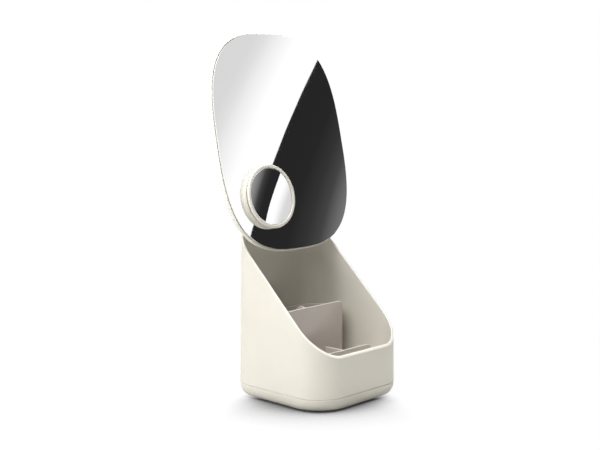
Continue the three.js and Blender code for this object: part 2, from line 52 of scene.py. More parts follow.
softSteps = 3  # rows of a softened edge
photoSize = (600, 450)

xAxis, yAxis, zAxis = Vector((1, 0, 0)), Vector((0, 1, 0)), Vector((0, 0, 1))
origin = Vector((0, 0, 0))
cornerSigns = ((1, 1), (-1, 1), (-1, -1), (1, -1))
planAxes, sideAxes, frontAxes = (xAxis, yAxis, zAxis), (yAxis, zAxis, xAxis), (xAxis, zAxis, yAxis)

jointNamed = {joint["name"]: joint for joint in frame["joints"]}
outOfGlass = Vector(jointNamed["magnifier_pull"]["axis"]).normalized()
hingePlace = Vector(jointNamed["mirror_tilt"]["pos_m"])


def middleOf(node):
    low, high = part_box(node)
    return (low + high) / 2


# Colours and nodes

def linearColour(code):  # sRGB hex to the linear colour that a socket takes
    channels = [int(code[at:at + 2], 16) / 255 for at in (1, 3, 5)]
    return [c / 12.92 if c <= 0.04045 else ((c + 0.055) / 1.055) ** 2.4 for c in channels] + [1.0]


def addNode(tree, kind, inputs=None, **settings):  # an input is a value or another node's socket
    node = tree.nodes.new(kind)
    for name, value in settings.items():
        setattr(node, name, value)
    for name, value in (inputs or {}).items():
        if isinstance(value, bpy.types.NodeSocket):
            tree.links.new(value, node.inputs[name])
        else:
            node.inputs[name].default_value = value
    return node


def emptyMaterial(name):
    material = bpy.data.materials.new(name)
    material.use_nodes = True
    material.node_tree.nodes.clear()
    return material, material.node_tree


def setStops(ramp, stops):  # stops: (position, hex)
    elements = ramp.color_ramp.elements
    while len(elements) < len(stops):
        elements.new(0.5)
    for element, (position, code) in zip(elements, stops):
        element.position = position
        element.color = linearColour(code)


# Tone and roughness from a broad noise, relief from a fine grain, all on object coordinates. The sizes of
# noise and grain are in mm; roughness is given as its middle and spread, relief as its strength and depth.
toneRange = (0.3, 0.7)  # the stretch of the noise that most points fall in
broadNoise = {"Detail": 3.0, "Roughness": 0.55}
fineRoughness = 0.6


def surfaceMaterial(name, toneSize, tones, grainSize, roughness, relief, sockets, detail=2.0,
                    stretch=(1, 1, 1)):
    material, tree = emptyMaterial(name)
    place = addNode(tree, "ShaderNodeTexCoord").outputs["Object"]
    broad = addNode(tree, "ShaderNodeTexNoise",
                    {"Vector": place, "Scale": 1 / (toneSize * mm), **broadNoise}).outputs["Fac"]
    tone = addNode(tree, "ShaderNodeValToRGB", {"Fac": broad})
    setStops(tone, list(zip(toneRange, tones)))
    stretched = addNode(tree, "ShaderNodeMapping", {"Vector": place, "Scale": stretch}).outputs["Vector"]
    fine = addNode(tree, "ShaderNodeTexNoise", {"Vector": stretched, "Scale": 1 / (grainSize * mm),
                                                "Detail": detail, "Roughness": fineRoughness})
    middle, spread = roughness
    sheen = addNode(tree, "ShaderNodeMapRange", {
        "Value": broad, "From Min": toneRange[0], "From Max": toneRange[1],
        "To Min": middle - spread, "To Max": middle + spread})
    strength, depth = relief
    bump = addNode(tree, "ShaderNodeBump", {"Height": fine.outputs["Fac"], "Strength": strength,
                                            "Distance": depth * mm})
    shader = addNode(tree, "ShaderNodeBsdfPrincipled",
                     {"Base Color": tone.outputs["Color"], "Roughness": sheen.outputs["Result"],
                      "Normal": bump.outputs["Normal"], **sockets})
    addNode(tree, "ShaderNodeOutputMaterial", {"Surface": shader.outputs["BSDF"]})
    return material


plastic, metal = {"IOR": 1.53}, {"Metallic": 1.0}

# Injection-moulded ABS from a spark-eroded tool: satin, warm off-white, hardly any colour change.
# Its real grain is about 0.2 mm, drawn at 0.9 mm so that the satin breaks up at this picture size.
creamAbs = surfaceMaterial("cream moulded ABS",
                           38, ("#ddd9ce", "#e1ddd3"), 0.9, (0.44, 0.03), (0.06, 0.05), plastic)

# The same moulding, coloured a warm grey, with a slightly duller surface.
taupeAbs = surfaceMaterial("taupe moulded ABS",
                           30, ("#cac2bb", "#cfc7c0"), 0.9, (0.5, 0.04), (0.08, 0.05), plastic)

# The thin rims of both mouldings: paler copies of the walls' colours, a painted highlight where light catches
# the edges.
creamHighlight = surfaceMaterial("cream moulded ABS rim",
                           38, ("#f4f1e8", "#f7f4ec"), 0.9, (0.4, 0.03), (0.04, 0.05), plastic)
taupeHighlight = surfaceMaterial("taupe moulded ABS rim",
                           30, ("#dfd8d1", "#e4ddd6"), 0.9, (0.45, 0.04), (0.05, 0.05), plastic)

# The groove behind the magnifier's ring: a darker cream, painted shade, so that it reads as a dark line.
grooveShadeAbs = surfaceMaterial("cream moulded ABS in the groove",
                            12, ("#8f8779", "#9c9486"), 0.9,
                            (0.6, 0.06), (0.1, 0.05), plastic)

# Float glass silvered behind: a clean mirror, hardly dulled by the finest dust, polished on its edges too.
silveredGlass = surfaceMaterial("silvered float glass",
                                90, ("#fdfdfd", "#fefefe"), 25, (0.012, 0.004), (0.0, 0.01), metal)

# Moulded thermoplastic rubber: dark, dull, with a fine tooth.
padRubber = surfaceMaterial("moulded soft rubber",
                            14, ("#4a4843", "#5b5852"), 0.6, (0.8, 0.06), (0.35, 0.12),
                            {"IOR": 1.5})

# Hot-rolled steel plate, left bare under the cover: mottled mill skin.
rawSteel = surfaceMaterial("hot-rolled steel",
                           9, ("#7d7f82", "#a0a2a5"), 0.8, (0.46, 0.12), (0.2, 0.08), metal)

# Zinc-plated steel, tumbled: bright with a faint blue cast and small changes of gloss.
zincSteel = surfaceMaterial("zinc-plated steel",
                            3, ("#c6cacd", "#dadcdc"), 0.5, (0.3, 0.08), (0.15, 0.03), metal)

# Nickel-plated sintered magnet: smoother and yellower than zinc.
nickelPlate = surfaceMaterial("nickel-plated magnet",
                              5, ("#c9c3b6", "#d8d2c6"), 1.2, (0.2, 0.05), (0.05, 0.02), metal)

# Turned acetal washers: near black with a waxy sheen.
darkAcetal = surfaceMaterial("turned acetal",
                             4, ("#37373a", "#444447"), 0.4, (0.38, 0.05), (0.1, 0.03), {"IOR": 1.48})

# Closed-cell foam tape: grey, dull, pitted with cells about 0.4 mm across.
foamTape = surfaceMaterial("closed-cell foam tape",
                           5, ("#626260", "#777775"), 0.4, (0.93, 0.05), (0.7, 0.25), {},
                           detail=4.0)

# Pressed wool felt: short fibres lying in the plane of the disc.
woolFelt = surfaceMaterial("pressed wool felt",
                           2.5, ("#7c7771", "#948f88"), 0.5, (0.97, 0.02), (0.8, 0.2),
                           {"Sheen Weight": 0.3}, detail=5.0, stretch=(0.35, 1, 1))
print("materials ready")


# Mesh making

def meshPiece(name, vertices, faces, material):
    mesh = bpy.data.meshes.new(name)
    mesh.from_pydata(vertices, [], faces)
    mesh.materials.append(material)
    piece = bpy.data.objects.new(name, mesh)
    bpy.context.scene.collection.objects.link(piece)
    return piece


def smoothed(piece):  # smooth but for its real edges
    piece.data.shade_smooth()
    piece.data.set_sharp_from_angle(angle=smoothAngle)
    return piece


def tidyMesh(piece):  # welded, facing outwards, smoothed
    work = bmesh.new()
    work.from_mesh(piece.data)
    bmesh.ops.remove_doubles(work, verts=work.verts, dist=weldReach)
    bmesh.ops.dissolve_degenerate(work, dist=weldReach, edges=work.edges)
    bmesh.ops.recalc_face_normals(work, faces=work.faces)
    work.to_mesh(piece.data)
    work.free()
    return smoothed(piece)


def applied(piece):  # the evaluated mesh takes the place of the modifiers
    graph = bpy.context.evaluated_depsgraph_get()
    mesh = bpy.data.meshes.new_from_object(piece.evaluated_get(graph))
    piece.modifiers.clear()
    piece.data = mesh
    mesh.name = piece.name
    return piece


def combine(piece, *steps):  # each step is an operation and the pieces that it uses up
    for operation, others in steps:
        for other in others:
            modifier = piece.modifiers.new(operation.lower(), "BOOLEAN")
            modifier.operation = operation
            modifier.solver = "EXACT"
            modifier.object = other
        applied(piece)
        for other in others:
            bpy.data.objects.remove(other)
    return tidyMesh(piece)


def setFaces(piece, material, chosen):  # another finish for the faces that a test picks
    piece.data.materials.append(material)
    slot = len(piece.data.materials) - 1
    for face in piece.data.polygons:
        if chosen(face):
            face.material_index = slot
    return piece


def above(point, start):  # how far one point lies before another, along the way out of the glass
    return (point - start).dot(outOfGlass) / mm


# A skin over columns of points that run round a piece. Flat faces close its ends, or its last row
# joins its first, or the ends lie on an axis or in one place and need nothing.
def skin(name, columns, material, ends="flat"):
    rows, count = len(columns[0]), len(columns)
    faces = []
    for at in range(count):
        here, there = at * rows, (at + 1) % count * rows
        for row in range(rows if ends == "joined" else rows - 1):
            beyond = (row + 1) % rows
            faces.append((here + row, there + row, there + beyond, here + beyond))
    if ends == "flat":
        faces += [[at * rows + row for at in range(count)] for row in (0, rows - 1)]
    return tidyMesh(meshPiece(name, [point for column in columns for point in column], faces, material))


# A profile of (radius, height) turned about an axis, its first and last points on the axis or in one place.
def turned(name, profile, base, axis, material, steps):
    turn = axis.to_track_quat("Z", "Y").to_matrix()
    columns = []
    for at in range(steps):
        angle = at / steps * 2 * pi
        columns.append([base + turn @ Vector((radius * cos(angle), radius * sin(angle), height)) * mm
                        for radius, height in profile])
    return skin(name, columns, material, "onAxis")


def rod(radius, low, high, base, axis, steps, material=creamAbs):  # a plain peg, or the tool for a round hole
    return turned("rod", [(0, low), (radius, low), (radius, high), (0, high)], base, axis, material, steps)


# A flat outline of (across, up) given a depth, in a frame of three axes, its edges then softened.
def plate(name, outline, near, far, axes, start, soften, material):
    across, up, deep = axes
    vertices = [start + (across * x + up * y + deep * depth) * mm
                for depth in (near, far) for x, y in outline]
    count = len(outline)
    faces = [list(range(count)), list(range(count, 2 * count))]
    faces += [(at, (at + 1) % count, count + (at + 1) % count, count + at) for at in range(count)]
    piece = tidyMesh(meshPiece(name, vertices, faces, material))
    if soften:
        edge = piece.modifiers.new("soft edges", "BEVEL")
        edge.width = soften * mm
        edge.segments = softSteps
        edge.limit_method = "ANGLE"
        edge.angle_limit = smoothAngle
        applied(piece)
    return piece


def quarter(steps):  # the angles from nought to a quarter turn
    return [at / steps * quarterTurn for at in range(steps + 1)]


def arc(centre, radius, start, end, steps):
    turns = [start + (end - start) * at / steps for at in range(steps + 1)]
    return [(centre[0] + radius * cos(turn), centre[1] + radius * sin(turn)) for turn in turns]


def roundedPlan(halfWidth, halfHeight, radius, steps, middle=0):
    points = []
    for corner, (x, y) in enumerate(cornerSigns):
        centre = (x * (halfWidth - radius), middle + y * (halfHeight - radius))
        points += arc(centre, radius, corner * quarterTurn, (corner + 1) * quarterTurn, steps)
    return points


# Geometry Nodes: a tree with named inputs that ends in plain mesh of one material

def newTree(name, inputs):
    tree = bpy.data.node_groups.new(name, "GeometryNodeTree")
    sockets = {}
    for label, kind in {**inputs, "Material": "Material"}.items():
        socket = tree.interface.new_socket(label, in_out="INPUT", socket_type="NodeSocket" + kind)
        sockets[label] = socket.identifier
    tree.interface.new_socket("Geometry", in_out="OUTPUT", socket_type="NodeSocketGeometry")
    return tree, sockets, addNode(tree, "NodeGroupInput").outputs


def endTree(tree, geometry, material):
    solid = addNode(tree, "GeometryNodeRealizeInstances", {"Geometry": geometry})
    coloured = addNode(tree, "GeometryNodeSetMaterial",
                       {"Geometry": solid.outputs["Geometry"], "Material": material})
    addNode(tree, "NodeGroupOutput", {"Geometry": coloured.outputs["Geometry"]})


def runTree(piece, tree, sockets, values):
    modifier = piece.modifiers.new(tree.name, "NODES")
    modifier.node_group = tree
    for label, value in values.items():
        modifier[sockets[label]] = value
    return applied(piece)


# Container, with every size of the pieces in mm

past = 1  # how far a cutting tool reaches past the surface
filletTurns = (0.4, 0.8, 1.2, quarterTurn)  # radians, the rows of a small fillet
wallShares = (0.25, 0.5, 0.75)
postSteps, holeSteps, boreSteps, planSteps = 32, 24, 40, 10  # faces round each of these curves
pot = {
    "half": 66.5,  # half the width at the seam
    "corner": 33,
    "lean": 0.015,  # inward lean of each wall per millimetre of height
    "wall": 2.2, "seam": 13,
    "seamGap": 0.15,  # the pot's side of the seam
    "rimFront": 53, "rimBack": 178,
    "rimRound": 1.0,  # how far the rounded rim draws down to each side
    "rimFullness": 2.7, "rimSteps": 12,
    "highlightDrop": 1.1,  # how far down the painted rim highlight goes
    "floorTop": 19.2, "floorUnder": 17, "floorFillet": 3, "edgeRound": 0.25, "cornerSteps": 26,
    "filletSteps": 6,
}
potReach = pot["half"] - pot["corner"]
rimSlope = (pot["rimBack"] - pot["rimFront"]) / (2 * pot["half"])

planDirections = []  # side and direction of each point round a rounded square, as unit values
for corner, side in enumerate(cornerSigns):
    for turn in quarter(pot["cornerSteps"]):
        planDirections.append((side, (cos(corner * quarterTurn + turn), sin(corner * quarterTurn + turn))))


def planPoint(direction, reach, radius, height):
    side, turn = direction
    return Vector((side[0] * reach + radius * turn[0], side[1] * reach + radius * turn[1], height)) * mm


def potRadius(height, margin):
    return pot["corner"] - pot["lean"] * (height - pot["seam"]) - margin


def potPoint(direction, height, margin):
    return planPoint(direction, potReach, potRadius(height, margin), height)


def mouthHeight(y):
    return pot["rimFront"] + rimSlope * (pot["half"] + y)


def rimHeight(direction, margin):  # where the leaning wall meets the sloping mouth
    side, turn = direction
    level = side[1] * potReach + (pot["corner"] + pot["lean"] * pot["seam"] - margin) * turn[1]
    return mouthHeight(level) / (1 + rimSlope * pot["lean"] * turn[1])


def rimSection(wall, drop, fullness, steps):  # (margin, height under the mouth) over a rounded edge
    section = []
    for at in range(steps + 1):
        angle = at / steps * pi
        across = copysign(abs(cos(angle)) ** (2 / fullness), cos(angle))
        rise = sin(angle) ** (2 / fullness) if 0 < at < steps else 0
        section.append((wall / 2 * (1 - across), drop * (1 - rise)))
    return section


def potShell():
    wall, edge, fillet = pot["wall"], pot["edgeRound"], pot["floorFillet"]
    foot, filletTop = pot["seam"] + pot["seamGap"], pot["floorTop"] + fillet
    columns = []
    for direction in planDirections:
        outerTop, innerTop = [rimHeight(direction, margin) - pot["rimRound"] for margin in (0, wall)]
        rows = [(pot["floorUnder"], wall + fillet)]
        rows += [(pot["floorUnder"] - fillet / 2 * (1 - cos(a)), wall + fillet * (1 - sin(a)))
                 for a in filletTurns]
        rows += [(foot + edge, wall), (foot, wall - edge), (foot, edge), (foot + edge, 0)]
        rows += [(foot + edge + (outerTop - foot - edge) * share, 0) for share in wallShares]
        rows += [(rimHeight(direction, margin) - under, margin)
                 for margin, under in rimSection(wall, pot["rimRound"], pot["rimFullness"], pot["rimSteps"])]
        rows += [(innerTop + (filletTop - innerTop) * share, wall) for share in wallShares]
        rows += [(filletTop - fillet * sin(a), wall + fillet * (1 - cos(a)))
                 for a in quarter(pot["filletSteps"])]
        columns.append([potPoint(direction, height, margin) for height, margin in rows])
    return skin("pot", columns, creamAbs)


bosses = {
    "pitch": 92, "radius": 4.6, "hole": 1.8, "under": 6.8, "holeTop": 15.5, "root": 0.5, "chamfer": 0.4,
}
bossPlaces = [Vector((x, y, 0)) * bosses["pitch"] / 2 * mm for x, y in ((-1, -1), (1, -1), (1, 1), (-1, 1))]

wallPad = {  # the thicker stretch of the back wall, for the hinge screws
    "half": 25, "thick": 3, "bottom": 155, "legBottom": 158, "soften": 0.8, "holeX": 15.5, "holeZ": 163,
    "holeRadius": 1.6, "holeDepth": 4.2,
}


def wallHoles(y, low, high):
    return [rod(wallPad["holeRadius"], low, high, Vector((x, y, wallPad["holeZ"])) * mm, yAxis, holeSteps)
            for x in (-wallPad["holeX"], wallPad["holeX"])]


def makePot():
    root = pot["floorUnder"] + bosses["root"]
    hole, radius, under, chamfer = bosses["hole"], bosses["radius"], bosses["under"], bosses["chamfer"]
    profile = [(0, bosses["holeTop"]), (hole, bosses["holeTop"]), (hole, under), (radius - chamfer, under),
               (radius, under + chamfer), (radius, root), (0, root)]
    posts = [turned("post", profile, place, zAxis, creamAbs, postSteps) for place in bossPlaces]
    face = potRadius(wallPad["legBottom"], pot["wall"]) + potReach - wallPad["thick"]
    back = pot["half"] - pot["lean"] * (pot["rimBack"] - pot["seam"]) - pot["wall"] / 2
    faceTop, backTop = [mouthHeight(y) - pot["rimRound"] / 2 for y in (face, back)]
    side = [(face, wallPad["bottom"]), (back, wallPad["bottom"]), (back, backTop), (face, faceTop)]
    half = wallPad["half"]
    backing = plate("wall pad", side, -half, half, sideAxes, origin, wallPad["soften"], creamAbs)
    piece = combine(potShell(), ("UNION", posts + [backing]),
                    ("DIFFERENCE", wallHoles(face, -past, wallPad["holeDepth"])))
    # the faces along the mouth get the paler cream: a painted highlight
    return setFaces(piece, creamHighlight,
                    lambda face: mouthHeight(face.center.y / mm) - face.center.z / mm < pot["highlightDrop"])


# Base cover

cover = {
    "bottom": 1,
    "inset": 4.4,  # how far the bottom edge rounds in
    "wall": 3.2, "thick": 2.6, "seamGap": 0.15, "spigotMargin": 2.5, "spigotWall": 1.8,
    "spigotRise": 3.6, "spigotChamfer": 0.5, "postTop": 6.5, "screwHole": 1.8, "headHole": 3.5,
    "headDepth": 2.5, "recessHalf": 40.3, "recessCorner": 12.3, "recessDepth": 1.1, "roundSteps": 14,
}


def coverPoint(direction, height, margin):
    fall = min(max((pot["seam"] - height) / (pot["seam"] - cover["bottom"]), 0), 1)
    draw = cover["inset"] * (1 - sqrt(1 - fall * fall))
    return planPoint(direction, potReach - draw, pot["corner"] - margin, height)


def makeCover():
    bottom, edge, top = cover["bottom"], pot["edgeRound"], pot["seam"] - cover["seamGap"]
    outer, chamfer, rise = cover["spigotMargin"], cover["spigotChamfer"], cover["spigotRise"]
    inner, spigotTop = outer + cover["spigotWall"], pot["seam"] + rise
    rows = [(bottom + (top - edge - bottom) * (1 - cos(a)), 0) for a in quarter(cover["roundSteps"])]
    rows += [(top, edge), (top, outer), (spigotTop - chamfer, outer), (spigotTop, outer + chamfer),
             (spigotTop, inner), (pot["seam"] - rise, inner), (pot["seam"] - rise, cover["wall"]),
             (bottom + cover["thick"], cover["wall"])]
    columns = [[coverPoint(direction, height, margin) for height, margin in rows]
               for direction in planDirections]
    floor = bottom + cover["thick"] - bosses["root"]
    posts = [rod(bosses["radius"], floor, cover["postTop"], place, zAxis, postSteps) for place in bossPlaces]
    headTop, holeTop = bottom + cover["headDepth"], cover["postTop"] + past
    wide, narrow = cover["headHole"], cover["screwHole"]
    profile = [(0, -past), (wide, -past), (wide, headTop), (narrow, headTop), (narrow, holeTop), (0, holeTop)]
    holes = [turned("hole", profile, place, zAxis, creamAbs, postSteps) for place in bossPlaces]
    plan = roundedPlan(cover["recessHalf"], cover["recessHalf"], cover["recessCorner"], planSteps)
    recess = plate("recess", plan, -past, bottom + cover["recessDepth"], planAxes, origin, 0, creamAbs)
    return combine(skin("base cover", columns, creamAbs), ("UNION", posts), ("DIFFERENCE", holes + [recess]))


# Organiser: the loose moulding inside the pot

organiser = {
    "margin": 3.25,  # from the pot's outer face to the organiser's
    "wall": 2, "bottom": 19.5, "floorTop": 21.5, "lowWallY": -21, "lowTop": 44.6, "lowCorner": 9,
    "dividerX": 17.8,
    "dividerDrop": 0.02,  # under the low wall's top, so that no two faces coincide
    "frontY": 4.2,  # tall compartment
    "top": 90.3, "backTop": 79.3,
    "slopeStart": 4.8,  # its side walls come down behind the front panel
    "slopeEnd": 17, "right": 62, "back": 61, "corner": 28, "partitionX": -1.6, "partitionTop": 78,
    "tabY": 21, "tabRadius": 9, "tabTop": 88.4, "edgeRound": 0.7, "edgeFullness": 2.3,
    "highlightSlope": 0.3,  # faces that look up more than this get the painted highlight of the rims
    "soften": 0.6,
    "shoulder": 0.3,  # where the middle row of a softened edge lies
    "root": 0.5, "frontSteps": 12, "cornerSteps": 16, "meetSteps": 14, "edgeSteps": 8, "tabSteps": 20,
}
trayRoot = organiser["floorTop"] - organiser["root"]


def tallOutline(height, margin):  # plan of the tall compartment, anticlockwise from its front left corner
    potCorner = potRadius(height, organiser["margin"] + margin)
    half = potCorner + potReach
    right, back = organiser["right"] - margin, organiser["back"] - margin
    front, radius = organiser["frontY"] + margin, organiser["corner"] - margin
    steps, cornerSteps = organiser["frontSteps"], organiser["cornerSteps"]
    points = [(-half + (right - radius + half) * at / steps, front) for at in range(steps)]
    points += arc((right - radius, front + radius), radius, -quarterTurn, 0, cornerSteps)
    points += arc((right - radius, back - radius), radius, 0, quarterTurn, cornerSteps)
    meet = asin(min(1, (back - potReach) / potCorner))  # where the back wall runs into the pot's corner
    return points + arc((-potReach, potReach), potCorner, pi - meet, pi, organiser["meetSteps"])


def tallTop(y):
    share = (y - organiser["slopeStart"]) / (organiser["slopeEnd"] - organiser["slopeStart"])
    share = min(max(share, 0), 1)
    return organiser["top"] + (organiser["backTop"] - organiser["top"]) * share * share * (3 - 2 * share)


def makeTallCompartment():
    section = rimSection(organiser["wall"], organiser["edgeRound"], organiser["edgeFullness"],
                         organiser["edgeSteps"])
    columns = []
    for at, middle in enumerate(tallOutline(organiser["top"], organiser["wall"] / 2)):
        rows = [(trayRoot, 0)] + [(tallTop(middle[1]) - under, margin) for margin, under in section]
        rows.append((trayRoot, organiser["wall"]))
        columns.append([Vector((*tallOutline(height, margin)[at], height)) * mm for height, margin in rows])
    return skin("organiser", columns, taupeAbs, "joined")


def trayWall(name, outline, middle, axes):
    side = organiser["wall"] / 2
    return plate(name, outline, middle - side, middle + side, axes, origin, organiser["soften"], taupeAbs)


def makeLowWall():
    half = potRadius(organiser["lowTop"], organiser["margin"]) + potReach
    radius = organiser["lowCorner"]
    top = organiser["lowTop"] - radius
    outline = [(-half, trayRoot), (half, trayRoot)]
    outline += arc((half - radius, top), radius, 0, quarterTurn, planSteps)
    outline += arc((radius - half, top), radius, quarterTurn, pi, planSteps)
    return trayWall("low wall", outline, organiser["lowWallY"], frontAxes)


def makeDivider():
    near, far = organiser["lowWallY"], organiser["frontY"] + organiser["root"]
    top = organiser["lowTop"] - organiser["dividerDrop"]
    outline = [(near, trayRoot), (far, trayRoot), (far, top), (near, top)]
    return trayWall("divider", outline, organiser["dividerX"], sideAxes)


def makePartition():
    near, far = organiser["frontY"] + organiser["root"], organiser["back"] - organiser["root"]
    top, radius = organiser["partitionTop"], organiser["tabRadius"]
    centre = organiser["tabTop"] - radius
    meet = asin((top - centre) / radius)
    outline = [(near, trayRoot), (far, trayRoot), (far, top)]
    outline += arc((organiser["tabY"], centre), radius, meet, pi - meet, organiser["tabSteps"]) + [(near, top)]
    return trayWall("partition", outline, organiser["partitionX"], sideAxes)


def makeTrayFloor():
    bottom, top, soft = organiser["bottom"], organiser["floorTop"], organiser["soften"]
    shoulder = soft * organiser["shoulder"]
    rows = [(bottom, soft), (bottom + shoulder, shoulder), (bottom + soft, 0),
            (top - soft, 0), (top - shoulder, shoulder), (top, soft)]
    columns = [[potPoint(direction, height, organiser["margin"] + margin) for height, margin in rows]
               for direction in planDirections]
    return skin("tray floor", columns, taupeAbs)


def makeOrganiser():
    walls = [makeTrayFloor(), makeLowWall(), makeDivider(), makePartition()]
    lowest = organiser["floorTop"] + organiser["wall"]
    # faces that look up get the paler taupe: a painted highlight on the tops
    return setFaces(combine(makeTallCompartment(), ("UNION", walls)), taupeHighlight,
                    lambda face: face.normal.z > organiser["highlightSlope"] and face.center.z / mm > lowest)


# The mirror's own frame: X across, Y up the glass, Z out of it

mirror = {
    "halfWidth": 93.1, "halfHeight": 115.2, "squareness": 2.96, "taper": 0.01, "glassThick": 3,
    "glassMargin": 1.42, "glassArris": 0.15, "lipWidth": 1.3,
    "lipProud": -1.8,  # the glass stands out of its housing, so its edge draws a thin line at the left
    "lipRound": 1.05, "lipChamfer": 0.25, "edgeDepth": 5.6, "depth": 10.6, "domeFlat": 30, "wall": 2.2,
    "ledgeDepth": 4.4, "ledgeWidth": 9, "domeSteps": 22, "innerSteps": 12, "lipSteps": 6, "steps": 288,
}
upGlass = outOfGlass.cross(xAxis).normalized()
upGlass = upGlass if upGlass.z > 0 else -upGlass
glassMiddle = middleOf("mirror_glass") + outOfGlass * mirror["glassThick"] / 2 * mm
mirrorAxes = (xAxis, upGlass, outOfGlass)
mirrorFrame = Matrix(mirrorAxes).transposed().to_4x4()
mirrorFrame.translation = glassMiddle
feltMiddle = 0.6  # of the felt disc above the glass
lensPlace = middleOf("magnifier_felt") - outOfGlass * feltMiddle * mm
hingeUp = (hingePlace - glassMiddle).dot(upGlass) / mm
hingeOut = above(hingePlace, glassMiddle)


# Sweeps a profile of (margin, width share, height) round a superellipse. Each sum of the table names its
# result, its operation and what it takes: a number, or the result of a sum or a node before it.
def outlineSweepTree():
    tree, sockets, given = newTree("outline sweep", {
        "Profile": "Geometry", "Half Width": "Float", "Half Height": "Float", "Squareness": "Float",
        "Taper": "Float", "Steps": "Int", "Weld": "Float"})
    size = addNode(tree, "GeometryNodeAttributeDomainSize", {"Geometry": given["Profile"]})
    sample = addNode(tree, "GeometryNodeSampleIndex", {
        "Geometry": given["Profile"], "Value": addNode(tree, "GeometryNodeInputPosition").outputs["Position"],
    }, data_type="FLOAT_VECTOR", domain="POINT")
    profile = addNode(tree, "ShaderNodeSeparateXYZ", {"Vector": sample.outputs["Value"]}).outputs
    known = {"margin": profile["X"], "share": profile["Y"], "rows": size.outputs["Point Count"],
             "index": addNode(tree, "GeometryNodeInputIndex").outputs["Index"]}
    for name in ("Steps", "Taper", "Half Width", "Half Height", "Squareness"):
        known[name.lower()] = given[name]
    for result, operation, *takes in (
            ("columns", "ADD", "steps", 1),
            ("column", "ADD", "index", 0.5),
            ("column", "DIVIDE", "column", "rows"),
            ("column", "FLOOR", "column"),
            ("row", "MULTIPLY", "column", "rows"),
            ("row", "SUBTRACT", "index", "row"),
            ("angle", "DIVIDE", "column", "steps"),
            ("angle", "MULTIPLY", "angle", 2 * pi),
            ("cosine", "COSINE", "angle"),
            ("sine", "SINE", "angle"),
            ("half width", "SUBTRACT", "half width", "margin"),
            ("half height", "SUBTRACT", "half height", "margin"),
            ("across", "ABSOLUTE", "cosine"),
            ("across", "DIVIDE", "across", "half width"),
            ("across", "POWER", "across", "squareness"),
            ("along", "ABSOLUTE", "sine"),
            ("along", "DIVIDE", "along", "half height"),
            ("along", "POWER", "along", "squareness"),
            ("reach", "ADD", "across", "along"),
            ("power", "DIVIDE", -1, "squareness"),
            ("reach", "POWER", "reach", "power"),
            ("reach", "MULTIPLY", "reach", "share"),
            ("up", "MULTIPLY", "reach", "sine"),
            ("narrowing", "MULTIPLY", "taper", "up"),
            ("narrowing", "DIVIDE", "narrowing", "half height"),
            ("narrowing", "SUBTRACT", 1, "narrowing"),
            ("sideways", "MULTIPLY", "reach", "cosine"),
            ("sideways", "MULTIPLY", "sideways", "narrowing")):
        feeds = {at: known.get(value, value) for at, value in enumerate(takes)}
        known[result] = addNode(tree, "ShaderNodeMath", feeds, operation=operation).outputs[0]
    tree.links.new(known["row"], sample.inputs["Index"])
    grid = addNode(tree, "GeometryNodeMeshGrid",
                   {"Vertices X": known["columns"], "Vertices Y": known["rows"]})
    place = addNode(tree, "ShaderNodeCombineXYZ",
                    {"X": known["sideways"], "Y": known["up"], "Z": profile["Z"]})
    moved = addNode(tree, "GeometryNodeSetPosition",
                    {"Geometry": grid.outputs["Mesh"], "Position": place.outputs["Vector"]})
    welded = addNode(tree, "GeometryNodeMergeByDistance",
                     {"Geometry": moved.outputs["Geometry"], "Distance": given["Weld"]})
    endTree(tree, welded.outputs["Geometry"], given["Material"])
    return tree, sockets


sweepTree, sweepSockets = outlineSweepTree()


def swept(name, profile, halfWidth, halfHeight, squareness, taper, steps, place, material):
    vertices = [(margin * mm, share, height * mm) for margin, share, height in profile]
    piece = meshPiece(name, vertices, [], material)
    runTree(piece, sweepTree, sweepSockets, {
        "Half Width": halfWidth * mm, "Half Height": halfHeight * mm, "Squareness": squareness,
        "Taper": taper, "Steps": steps, "Weld": weldReach, "Material": material})
    piece.data.transform(place)
    return tidyMesh(piece)


def sweptMirror(name, profile, material):
    return swept(name, profile, mirror["halfWidth"], mirror["halfHeight"], mirror["squareness"],
                 mirror["taper"], mirror["steps"], mirrorFrame, material)


def domeRows(margin, edge, depth, steps):  # from the flat middle of the back out to the edge
    draw = mirror["halfWidth"] - mirror["domeFlat"]
    return [(margin + draw * (1 - cos(a)), 1, -edge - (depth - edge) * sin(a))
            for a in reversed(quarter(steps))]


def makeHousing():
    outer = domeRows(0, mirror["edgeDepth"], mirror["depth"], mirror["domeSteps"])
    inner = domeRows(mirror["ledgeWidth"], mirror["ledgeDepth"], mirror["depth"] - mirror["wall"],
                     mirror["innerSteps"])
    lip, top, soft, chamfer = mirror["lipWidth"], mirror["lipProud"], mirror["lipRound"], mirror["lipChamfer"]
    profile = [(outer[0][0], 0, outer[0][2])] + outer
    profile += [(soft * (1 - cos(a)), 1, top - soft * (1 - sin(a))) for a in quarter(mirror["lipSteps"])]
    profile += [(lip - chamfer, 1, top), (lip, 1, top - chamfer), (lip, 1, -mirror["ledgeDepth"])]
    profile += inner[::-1] + [(inner[0][0], 0, inner[0][2])]
    seat = hingeBlock["half"] + hingeBlock["seatMargin"]
    rise = hingeBlock["rise"] + hingeBlock["seatMargin"]
    raised = plate("seat", [(-seat, hingeUp - rise), (seat, hingeUp - rise), (seat, hingeUp + rise),
                            (-seat, hingeUp + rise)],
                   -mirror["depth"] - hingeBlock["seatProud"], -mirror["ledgeDepth"] - hingeBlock["root"],
                   mirrorAxes, glassMiddle, hingeBlock["seatSoften"], creamAbs)
    holes = blockHoles(-mirror["depth"] - past, blockBack() + hingeScrew["length"] + hingeBlock["holeSpare"])
    piece = combine(sweptMirror("mirror housing", profile, creamAbs),
                    ("UNION", [raised]), ("DIFFERENCE", holes))
    # the housing's side and lip get the paler cream: a painted highlight
    return setFaces(piece, creamHighlight, lambda face: above(face.center, glassMiddle) > -mirror["edgeDepth"])


